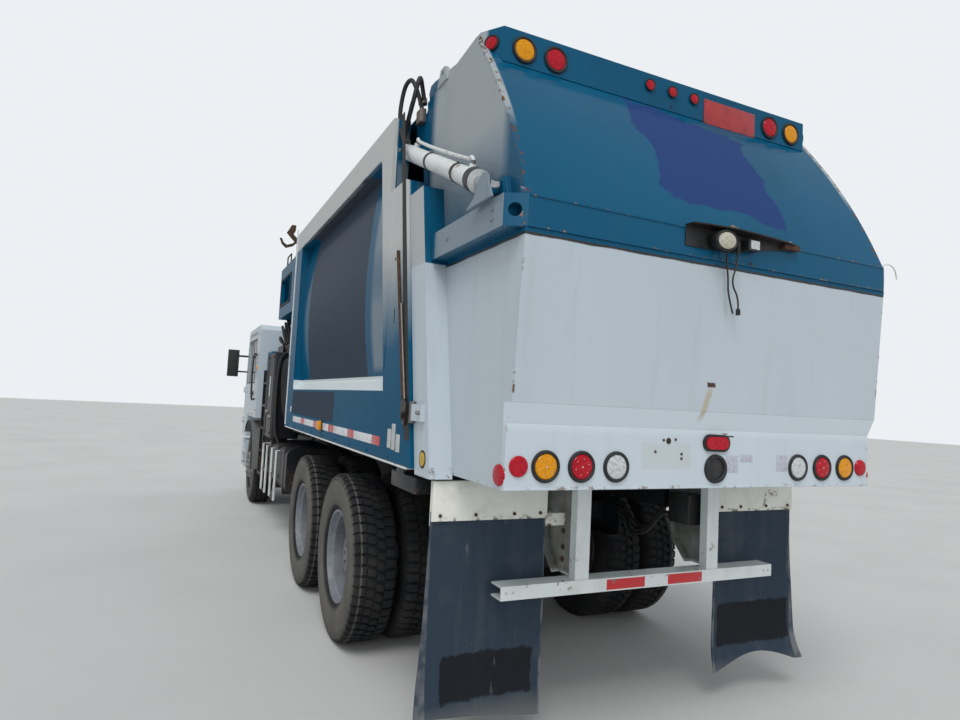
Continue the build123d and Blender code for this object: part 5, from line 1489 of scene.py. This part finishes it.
class TRUCK_OT_wheel_fittings(bpy.types.Operator):
    """Set the wheel nuts, flange bolts and valves in place"""
    bl_idname = "truck.wheel_fittings"
    bl_label = "Nuts and hubs"

    def execute(self, context):
        settings = context.scene.truck_wheels
        ring = ring_tree()
        size = settings.nut_radius
        for side, name in SIDES:
            sources = [shape_source("nut", lambda p: p.bolt((0, 0, 0), (0, side, 0), size, "zinc", size * 1.1)),
                       shape_source("flange_bolt",
                                    lambda p: p.bolt((0, 0, 0), (0, side, 0), 0.0115, "zinc", 0.008))]
            nut, flange_bolt = sources
            for axle, wheel in DUALS:
                nut_centre = (wheel.x, side * DUAL_NUT_Y, wheel.z)
                hub_centre = (wheel.x, side * HUB_BOLT_Y, wheel.z)
                rows = [ring_of(nut, settings.nuts, 0.145, nut_centre, 0.15, "zinc"),
                        ring_of(flange_bolt, 8, 0.08, hub_centre, 0.0, "zinc")]
                grown(f"{axle}_nuts_{name}", ring, rows, f"{axle}_wheels_{name}")
            nut_centre = (STEER_WHEEL.x, side * STEER_NUT_Y, STEER_WHEEL.z)
            rows = [ring_of(nut, settings.nuts, 0.125, nut_centre, 0.1, "zinc")]
            grown("steer_nuts_" + name, ring, rows, "steer_wheel_" + name)
            self.valves(side, name)
            discard(*sources)
        return {"FINISHED"}

    def valves(self, side, name):
        """Valve stems on the rims, and four plugs on each drive hub."""
        for axle, wheel in DUALS:
            piece = Piece(f"{axle}_valves_{name}")
            x, z = wheel.x, wheel.z
            piece.frame([(x + 0.215, side * 1.0, z + 0.03), (x + 0.225, side * 1.045, z + 0.03),
                         (x + 0.205, side * 1.085, z + 0.03)], 0.005, "zinc")
            for k in range(4):
                a = math.pi / 4 + k * math.pi / 2
                piece.turned([(0, 0.016), (0.004, 0.014)],
                             (x + 0.045 * math.cos(a), side * HUB_BOLT_Y, z + 0.045 * math.sin(a)),
                             (0, side, 0), "rim_paint", 10)
            piece.done(f"{axle}_wheels_{name}", "rim_paint")


# Fittings on the side of the load body

SIDE_Y = 1.219


class TRUCK_OT_body_fittings(bpy.types.Operator):
    """Add tape, marker lamps, slots, flanges, catches and the seam's latch to the load body"""
    bl_idname = "truck.body_fittings"
    bl_label = "Body fittings"

    def execute(self, context):
        piece = Piece("body_fittings")
        for side in (1, -1):
            self.side(piece, side)
        piece.done("chassis", "teal_paint")
        self.sill_tape(context.scene.truck_fittings.tape_step)
        return {"FINISHED"}

    def flush(self, piece, side, low, high, finish, out=0.0012, bevel=0.0004):
        """A thin plate on the body's side."""
        piece.block((low[0], side * (SIDE_Y - 0.0006), low[1]), (high[0], side * (SIDE_Y + out), high[1]),
                    finish, bevel)

    def side(self, piece, side):
        out = (0, side, 0)
        # Slots and hole of the rear post, and a black strip beside the seam: a seal widened into painted shade
        # of the gap between body and tailgate
        self.flush(piece, side, (-3.376, 2.01), (-3.364, 2.092), "black_rubber")
        piece.turned([(0, 0.01), (0.001, 0.01)], (-3.334, side * SIDE_Y, 2.369), out, "black_rubber", 14)
        strip = ((1.4, 0.0), (3.2, 0.0), (3.2, 0.05), (2.4, 0.064), (1.62, 0.08), (1.4, 0.075))
        piece.prism([(seam_x(z) + shift, z) for z, shift in strip], side * (SIDE_Y - 0.0004),
                    side * (SIDE_Y + 0.0016), "black_rubber")
        rod = [(seam_x(z) + shift, side * (SIDE_Y + 0.008), z) for z, shift in
               ((2.4, 0.118), (2.1, 0.1), (1.85, 0.082), (1.6, 0.064))]
        piece.frame(rod, 0.01, "rusty")
        piece.frame([(x - 0.022, y, z) for x, y, z in rod[1:]], 0.006, "worn_steel")
        for x0, z0, x1, z1 in (
                (-3.435, 1.34, -3.375, 1.44), (-3.505, 1.335, -3.445, 1.47), (-3.585, 1.33, -3.52, 1.42)):
            self.flush(piece, side, (x0, z0), (x1, z1), "label", 0.0012, 0.0003)
        # Weld lines of the posts
        for x in (-3.235, -0.222):
            self.flush(piece, side, (x - 0.003, 1.75), (x + 0.003, 3.04), "teal_paint", 0.0025, 0.001)
        # Pale flange at the front edge
        self.flush(piece, side, (0.085, 1.285), (0.139, 3.3), "pale_paint", 0.003, 0.001)
        # Seam latch
        latch_y = side * (SIDE_Y + 0.014)
        piece.prism([(-3.672, 1.47), (-3.632, 1.48), (-3.6, 1.56), (-3.625, 1.62), (-3.69, 1.58)],
                    side * SIDE_Y, latch_y, "grease")
        piece.bolt((-3.65, latch_y, 1.52), out, 0.017, "grease", height=0.012)
        # Amber marker in its guard, white reflector
        piece.block(
            (-1.712, side * SIDE_Y, 1.318), (-1.628, side * (SIDE_Y + 0.01), 1.412), "black_plastic", 0.004)
        piece.block((-1.703, side * (SIDE_Y + 0.006), 1.33), (-1.637, side * (SIDE_Y + 0.036), 1.402),
                    "amber_lens", 0.012)
        self.flush(piece, side, (-0.212, 1.42), (-0.165, 1.476), "clear_lens", 0.005, 0.002)
        # Black beam end of the tailgate's lower lock
        piece.block((-3.8, side * 1.04, 1.15), (-3.42, side * 1.2, 1.228), "chassis_black", 0.006)
        piece.block((-3.62, side * 1.04, 1.226), (-3.5, side * 1.2, 1.262), "chassis_black", 0.004)
        # Bottom flange of the sill and its bolts
        piece.block((-3.7, side * 1.122, 1.258), (0.135, side * 1.2188, 1.2695), "pale_paint", 0.001)
        for k in range(9):
            piece.bolt((-3.4 + 0.42 * k, side * SIDE_Y, 1.292), out, 0.007, "teal_paint", washer=False)
        if side > 0:
            self.hooks(piece)

    def hooks(self, piece):
        """Bent catches at the front upper corner, over the guard."""
        piece.prism([(1.194, 3.43), (1.241, 3.43), (1.289, 3.337), (1.231, 3.276), (1.173, 3.228),
                     (1.177, 3.291), (1.218, 3.327), (1.199, 3.366)], 0.44, 0.46, "rusty", "x")
        piece.prism([(1.339, 3.308), (1.314, 3.246), (1.269, 3.205), (1.197, 3.232), (1.203, 3.262),
                     (1.259, 3.24), (1.295, 3.262), (1.316, 3.306)], 0.6, 0.62, "rusty", "x")
        piece.frame([(0.15, 1.17, 3.225), (0.3, 1.178, 3.24), (0.45, 1.185, 3.25), (0.61, 1.2, 3.245)], 0.013,
                    "rusty")

    def sill_tape(self, step):
        """Red and white lengths of tape in a row along each sill."""
        row = row_tree()
        length = 3.07
        count = max(1, int(length / (2 * step)))
        sources, settings = [], []
        for side in (1, -1):
            for finish, shift in (("tape_red", 0.0), ("tape_white", step * 0.55)):
                share = step * (0.55 if finish == "tape_red" else 1.45)
                low = (0, side * (SIDE_Y - 0.0004), 0)
                high = (share - 0.002, side * (SIDE_Y + 0.0011), 0.052)
                source = shape_source("tape_length", lambda p: p.block(low, high, finish, 0.0003))
                sources.append(source)
                settings.append({"Shape": source, "Count": count, "First": (-3.235 + shift, 0, 1.335),
                                 "Step": (2 * step, 0, 0.0), "Finish": FINISHES[finish]})
        grown("sill_tape", row, settings, "chassis")
        discard(*sources)


class TRUCK_OT_hopper_fittings(bpy.types.Operator):
    """Add the valve bank, its hoses, the tank's straps and steps, and the guard's seal"""
    bl_idname = "truck.hopper_fittings"
    bl_label = "Hopper fittings"

    def execute(self, context):
        piece = Piece("hopper_fittings")
        self.guard(piece)
        self.valves(piece)
        self.tank(piece)
        self.steps(piece)
        piece.done("chassis", "chassis_black")
        return {"FINISHED"}

    def guard(self, piece):
        """Black seal round the guard's window, and a rolled lip along its top."""
        x0, x1, z0, z1 = 0.415, 1.06, 2.61, 2.89
        w = 0.022
        for left, low, right, high in ((x0 - w, z0 - w, x0, z1 + w), (x1, z0 - w, x1 + w, z1 + w),
                                       (x0, z0 - w, x1, z0), (x0, z1, x1, z1 + w)):
            piece.block((left, SIDE_Y - 0.004, low), (right, SIDE_Y + 0.008, high), "black_rubber")
        piece.tube([(0.16, 1.199, 3.044), (0.7, 1.199, 3.046), (1.14, 1.199, 3.044)], 0.013, "teal_paint")
        piece.frame([(0.62, 1.199, 3.05), (0.62, 1.199, 3.15), (0.86, 1.199, 3.15), (0.86, 1.199, 3.05)],
                    0.008, "grease")

    def valves(self, piece):
        """A row of valve bodies with levers, and hoses that rise to the guard's shelf."""
        for k in range(6):
            x = 0.5 + 0.115 * k
            piece.block((x - 0.045, 0.895, 2.0), (x + 0.045, 1.035, 2.13), "teal_paint", 0.008)
            piece.turned([(0, 0.022), (0.045, 0.02), (0.05, 0)], (x, 0.965, 2.128), UPWARDS, "zinc", 12)
            piece.frame([(x, 1.03, 2.05), (x, 1.09, 2.08), (x, 1.13, 2.16)], 0.006, "zinc")
            rise = 2.3 + 0.04 * (k % 3)
            piece.tube([(x, 0.965, 2.16), (x + 0.01, 1.0 + 0.02 * (k % 2), rise), (x - 0.03, 1.08, 2.4),
                        (x - 0.02, 1.1, 2.465)], 0.014, "black_rubber")
            piece.tube([(x + 0.03, 1.03, 2.03), (x + 0.04, 1.12, 1.96), (x + 0.05, 1.13, 1.7),
                        (x + 0.03, 1.09, 1.36), (x + 0.02, 0.96, 1.16)], 0.012, "black_rubber")
        for x, top in ((1.3, 2.5), (1.42, 2.44), (1.54, 2.38), (1.66, 2.42), (1.8, 2.3)):
            piece.tube([(x, 1.02, 2.17), (x + 0.01, 1.05, (2.17 + top) / 2), (x - 0.06, 1.1, top),
                        (x - 0.22, 1.12, top - 0.05), (x - 0.3, 1.08, 2.19)], 0.015, "black_rubber")
            piece.turned([(0, 0.024), (0.03, 0.024), (0.034, 0)], (x, 1.02, 2.165), UPWARDS, "zinc", 6)

    def tank(self, piece):
        """Straps, filler, sight glass and pipes on the oil tank."""
        for x in (1.36, 1.84):
            piece.block((x - 0.025, 1.196, 1.075), (x + 0.025, 1.206, 2.075), "grease")
            for z in (1.12, 2.03):
                piece.bolt((x, 1.206, z), (0, 1, 0), 0.012, "rusty")
        piece.turned(
            [(0, 0.055), (0.02, 0.055), (0.05, 0.048), (0.055, 0)], (1.6, 1.03, 2.178), UPWARDS, "grease", 24)
        piece.block((1.585, 1.198, 1.55), (1.625, 1.208, 1.8), "clear_lens", 0.004)
        for x, z in ((1.47, 1.3), (1.72, 1.36)):
            piece.turned([(0, 0.03), (0.02, 0.028), (0.03, 0)], (x, 1.199, z), (0, 1, 0), "zinc", 12)
        for x in (1.17, 1.21):
            piece.tube([(x, 1.12, 1.02), (x, 1.17, 1.2), (x, 1.18, 1.7), (x - 0.03, 1.15, 2.02),
                        (x - 0.08, 1.05, 2.1)], 0.014, "black_rubber")

    def steps(self, piece):
        """Bent pipe frames of the steps under the tank."""
        for x0, x1, y, low, high in ((0.98, 1.34, 1.16, 0.38, 0.94), (1.74, 2.1, 1.165, 0.36, 0.94)):
            piece.frame([(x0, y - 0.1, high), (x0, y, high), (x0, y, low), (x1, y, low), (x1, y, high),
                         (x1, y - 0.1, high)], 0.014, "pale_paint")
            piece.block(
                (x0 + 0.01, y - 0.1, low + 0.25), (x1 - 0.01, y + 0.006, low + 0.272), "worn_steel", 0.004)
        for x in (0.6, 1.1, 1.66, 2.2):
            piece.block((x - 0.025, 0.86, 0.505), (x + 0.025, 1.136, 1.016), "grease", 0.004)


# Cab, chassis and arm fittings

CAB_SIDE_Y = CAB_HIGH.y - 0.035


class TRUCK_OT_cab_fittings(bpy.types.Operator):
    """Add handles, seals, wipers, grille bars, lamps, mirror glass and steps to the cab"""
    bl_idname = "truck.cab_fittings"
    bl_label = "Cab fittings"

    def execute(self, context):
        piece = Piece("cab_fittings")
        for side, name in SIDES:
            self.side(piece, side)
            self.door(side, name)
        self.front(piece)
        self.back(piece)
        piece.done("cab", "white_paint")
        self.bumper()
        return {"FINISHED"}

    def side(self, piece, side):
        y = side * CAB_SIDE_Y
        out = (0, side, 0)
        # Grab rail behind the door, rain lip over it, mirror glass
        piece.tube([(3.16, y - side * 0.005, 1.5), (3.16, y + side * 0.045, 1.53),
                    (3.16, y + side * 0.045, 2.1), (3.16, y - side * 0.005, 2.13)], 0.013, "black_plastic")
        piece.block((3.2, y - side * 0.002, 2.475), (4.24, y + side * 0.018, 2.49), "white_paint", 0.004)
        for low, high in ((1.86, 2.13), (2.145, 2.235)):
            piece.block((4.421, side * 1.372, low), (4.427, side * 1.503, high), "mirror", 0.002)
        piece.block((4.415, side * 1.362, 1.85), (4.424, side * 1.513, 2.245), "black_rubber")
        piece.turned([(0, 0.03), (0.014, 0.026), (0.016, 0)], (3.08, y, 1.95), out, "amber_lens", 20)
        for z in (1.34, 2.42):
            piece.bolt((2.97, y, z), out, 0.01, "zinc", washer=False)

    def door(self, side, name):
        piece = Piece("door_fittings_" + name)
        y = side * CAB_SIDE_Y
        piece.block((3.33, y - side * 0.004, 1.535), (3.5, y + side * 0.006, 1.605), "black_plastic")
        piece.tube([(3.35, y, 1.57), (3.365, y + side * 0.03, 1.57), (3.465, y + side * 0.03, 1.57),
                    (3.48, y, 1.57)], 0.009, "black_plastic")
        # Seal round the window, and the bar that divides it
        w, rear, low, high = 0.016, WINDOW_REAR_X, WINDOW_LOW_Z, WINDOW_HIGH_Z
        inner, outer = y - side * 0.003, y + side * 0.004
        for x0, z0, x1, z1 in ((rear - w, low - w, WINDOW_FRONT_X, low), (rear - w, low, rear, high),
                               (rear - w, high, 4.255, high + w), (3.62, low + 0.004, 3.635, high - 0.004)):
            piece.block((x0, inner, z0), (x1, outer, z1), "black_rubber", 0.002)
        piece.prism([(4.332, low), (4.348, low), (4.256, high + 0.002), (4.24, high + 0.002)], inner, outer,
                    "black_rubber")
        piece.done("door_" + name, "white_paint")

    def front(self, piece):
        """Wipers, grille bars and roof markers at the front."""
        x = CAB_HIGH.x
        for side in (1, -1):
            piece.tube([(x + 0.008, side * 0.16, 1.62), (x + 0.016, side * 0.34, 1.7),
                        (x - 0.012, side * 0.52, 1.98)], 0.007, "black_plastic")
            piece.frame([(x - 0.005, side * 0.36, 1.76), (x - 0.02, side * 0.56, 2.02),
                         (x - 0.045, side * 0.7, 2.24)], 0.008, "black_rubber")
        for k in range(6):
            z = 1.16 + 0.052 * k
            piece.block((x - 0.004, -0.52, z), (x + 0.012, 0.52, z + 0.02), "black_plastic", 0.004)
        piece.block((x - 0.004, -0.56, 1.12), (x + 0.004, 0.56, 1.48), "black_rubber")
        for y in (-0.8, -0.18, 0.0, 0.18, 0.8):
            piece.turned([(-0.004, 0.034), (0.018, 0.03), (0.028, 0.015), (0.03, 0)],
                         (x - 0.3, y, CAB_HIGH.z), UPWARDS, "amber_lens", 18)

    def back(self, piece):
        """Seal of the rear pane, and the louvred air intake behind the cab."""
        x = CAB_LOW.x
        top = 2.3
        for y0, z0, y1, z1 in ((-0.44, 1.83, 0.44, 1.85), (-0.44, top, 0.44, top + 0.02),
                               (-0.44, 1.85, -0.42, top), (0.42, 1.85, 0.44, top)):
            piece.block((x - 0.01, y0, z0), (x + 0.004, y1, z1), "black_rubber")
        piece.block((x - 0.012, 0.62, 1.32), (x + 0.002, 1.02, 1.62), "black_plastic", 0.004)
        for k in range(5):
            piece.block(
                (x - 0.02, 0.65, 1.36 + 0.05 * k), (x - 0.01, 0.99, 1.375 + 0.05 * k), "black_plastic")

    def bumper(self):
        """Headlamp lenses, step treads, and the fender's marker and lip."""
        piece = Piece("bumper_fittings")
        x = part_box("front_lamps")[1].x
        for side in (1, -1):
            for y in (0.86, 0.99):
                round_lamp(piece, (x, side * y, 0.67), (1, 0, 0), "clear_lens", 0.052, 0.06)
            piece.block((x - 0.002, side * 1.04, 0.62), (x + 0.008, side * 1.075, 0.72), "amber_lens", 0.004)
            for k in range(5):
                piece.block((4.06 + 0.085 * k, side * 0.93, 0.469), (4.1 + 0.085 * k, side * 1.19, 0.478),
                            "worn_steel", 0.002)
            piece.turned([(0, 0.036), (0.03, 0.032), (0.045, 0.018), (0.048, 0)], (3.7, side * 1.205, 1.055),
                         (0.5, side * 0.3, 1.0), "amber_lens", 20)
            fender = [(3.31 + 0.6345 * math.cos(a), side * 1.247, 0.54 + 0.6345 * math.sin(a))
                      for a in (math.radians(52 + 8 * k) for k in range(17))]
            piece.tube(fender, 0.01, "black_rubber")
        piece.done("chassis", "chassis_black")


class TRUCK_OT_chassis_fittings(bpy.types.Operator):
    """Add air tanks, brake chambers, bolts, straps and hoses under the truck"""
    bl_idname = "truck.chassis_fittings"
    bl_label = "Chassis fittings"

    def execute(self, context):
        piece = Piece("chassis_fittings")
        for side in (1, -1):
            for x, y in ((REAR_WHEEL.x, 0.5), (MID_WHEEL.x, 0.5), (STEER_WHEEL.x - 0.02, 0.62)):
                self.brake(piece, x, side, y)
        for y in (-0.2, 0.2):
            piece.block((-3.0, y - 0.02, 0.95), (-2.46, y + 0.02, 0.972), "grease")
        for x in (-2.84, -2.57):
            piece.turned([(-0.3, 0.05), (-0.27, 0.1), (-0.24, 0.115), (0.24, 0.115), (0.27, 0.1),
                          (0.3, 0.05)], (x, 0, 0.9), (0, 1, 0), "grease", 28)
        for x in (0.7, 1.5):
            piece.hoop([(-0.02, 0.1), (0.02, 0.1), (0.02, 0.104), (-0.02, 0.104)], (x, 0.0, 0.6), (1, 0, 0),
                       "grease", 24)
        self.rails(piece)
        piece.done("chassis", "chassis_black")
        return {"FINISHED"}

    def brake(self, piece, x, side, y):
        """A round brake chamber behind the axle with its push rod and hose."""
        centre = (x - 0.2, side * y, 0.62)
        piece.turned([(-0.09, 0.05), (-0.075, 0.08), (-0.01, 0.085), (-0.005, 0.095), (0.01, 0.095),
                      (0.015, 0.082), (0.07, 0.075), (0.085, 0.045)], centre, (1, 0, 0.35), "grease", 24)
        piece.frame([(x - 0.13, side * y, 0.645), (x - 0.03, side * y, 0.655)], 0.01, "zinc")
        piece.tube([(x - 0.28, side * y, 0.6), (x - 0.34, side * (y - 0.05), 0.68),
                    (x - 0.3, side * (y - 0.06), 0.8), (x - 0.12, side * (y - 0.075), 0.9)],
                   0.01, "black_rubber")

    def rails(self, piece):
        """Rows of rail bolts, cable bundles and pipes along the rails."""
        for side in (1, -1):
            for k in range(12):
                piece.bolt((-3.15 + 0.6 * k, side * 0.43, 0.985), (0, side, 0), 0.01, "rusty", washer=False)
            piece.tube([(-3.2, side * 0.443, 1.0), (-2.4, side * 0.442, 1.005), (-0.9, side * 0.443, 0.998),
                        (0.6, side * 0.442, 1.004), (2.0, side * 0.443, 1.0)], 0.014, "black_rubber")
        for y in (0.1, 0.13, -0.16):
            piece.tube([(-3.06, y, 0.994), (-2.0, y + 0.01, 0.99), (-0.4, y, 0.994), (0.8, y - 0.01, 0.99),
                        (2.2, y, 0.994)], 0.011, "black_rubber")


ARM_PIN = Vector((1.35, -1.168, 1.65))


class TRUCK_OT_arm_fittings(bpy.types.Operator):
    """Add pin collars, hoses, clamps and rubber pads to the bin arm"""
    bl_idname = "truck.arm_fittings"
    bl_label = "Arm fittings"

    def execute(self, context):
        carriage = Piece("carriage_fittings")
        boom = Piece("boom_fittings")
        for end in (-1, 1):
            carriage.hoop([(-0.001, 0.034), (0.014, 0.034), (0.014, 0.042), (-0.001, 0.047)],
                          ARM_PIN + Vector((end * 0.156, 0, 0)), (end, 0, 0), "grease", 28)
            boom.bolt(ARM_PIN + Vector((end * 0.185, 0, 0)), (end, 0, 0), 0.007, "zinc", washer=False)
        carriage.done("arm_carriage", "chassis_black")
        for x in (1.24, 1.46):
            boom.tube([(x, -1.214, 1.5), (x + 0.01, -1.224, 1.35), (x - 0.01, -1.224, 1.1), (x, -1.214, 0.9)],
                      0.01, "black_rubber")
        for z in (1.0, 1.3):
            boom.block((1.22, -1.2235, z), (1.48, -1.214, z + 0.03), "grease")
        boom.done("lift_boom", "chassis_black")
        for node, body, x0, x1 in (("grip_finger_front", "finger_front", 1.62, 2.08),
                                   ("grip_finger_rear", "finger_rear", 0.62, 1.08)):
            low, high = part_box(node)
            pad = Piece(node + "_pad")
            pad.block(
                (x0, low.y - 0.01, low.z + 0.018), (x1, low.y + 0.002, high.z - 0.018), "black_rubber", 0.004)
            for x in (x0 + 0.05, (x0 + x1) / 2, x1 - 0.05):
                pad.bolt((x, low.y - 0.01, (low.z + high.z) / 2), (0, -1, 0), 0.009, "zinc")
            pad.done(body, "flap_rubber")
        return {"FINISHED"}


class TRUCK_OT_finishes(bpy.types.Operator):
    """Make the paints, rubbers, lenses and metals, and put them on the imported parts"""
    bl_idname = "truck.finishes"
    bl_label = "Finishes"

    def execute(self, context):
        make_finishes()
        return {"FINISHED"}


SETTING_GROUPS = (("truck_paint", TruckPaint), ("truck_wheels", TruckWheels),
                  ("truck_fittings", TruckFittings), ("truck_stage", TruckStage))
OPERATORS = [TRUCK_OT_finishes, TRUCK_OT_stage, TRUCK_OT_wires, TRUCK_OT_lamps, TRUCK_OT_work_lamp,
             TRUCK_OT_tail_fittings, TRUCK_OT_cylinders, TRUCK_OT_flaps, TRUCK_OT_tyres,
             TRUCK_OT_wheel_fittings, TRUCK_OT_body_fittings, TRUCK_OT_hopper_fittings,
             TRUCK_OT_cab_fittings, TRUCK_OT_chassis_fittings, TRUCK_OT_arm_fittings]


class TRUCK_PT_panel(bpy.types.Panel):
    """Shows the truck's settings and its steps in the sidebar"""
    bl_idname = "TRUCK_PT_panel"
    bl_label = "Garbage truck"
    bl_space_type = "VIEW_3D"
    bl_region_type = "UI"
    bl_category = "Truck"

    def draw(self, context):
        for name, group in SETTING_GROUPS:
            box = self.layout.box()
            for key in group.__annotations__:
                box.prop(getattr(context.scene, name), key)
        for operator in OPERATORS:
            self.layout.operator(operator.bl_idname)


def register():
    for group in [group for name, group in SETTING_GROUPS] + OPERATORS + [TRUCK_PT_panel]:
        bpy.utils.register_class(group)
    for name, group in SETTING_GROUPS:
        setattr(bpy.types.Scene, name, PointerProperty(type=group))


def unregister():
    for name, group in SETTING_GROUPS:
        delattr(bpy.types.Scene, name)
    for group in [TRUCK_PT_panel] + OPERATORS[::-1] + [group for name, group in SETTING_GROUPS][::-1]:
        bpy.utils.unregister_class(group)


def main():
    register()
    for operator in OPERATORS:
        family, name = operator.bl_idname.split(".")
        getattr(getattr(bpy.ops, family), name)()


if __name__ == "__main__":
    main()
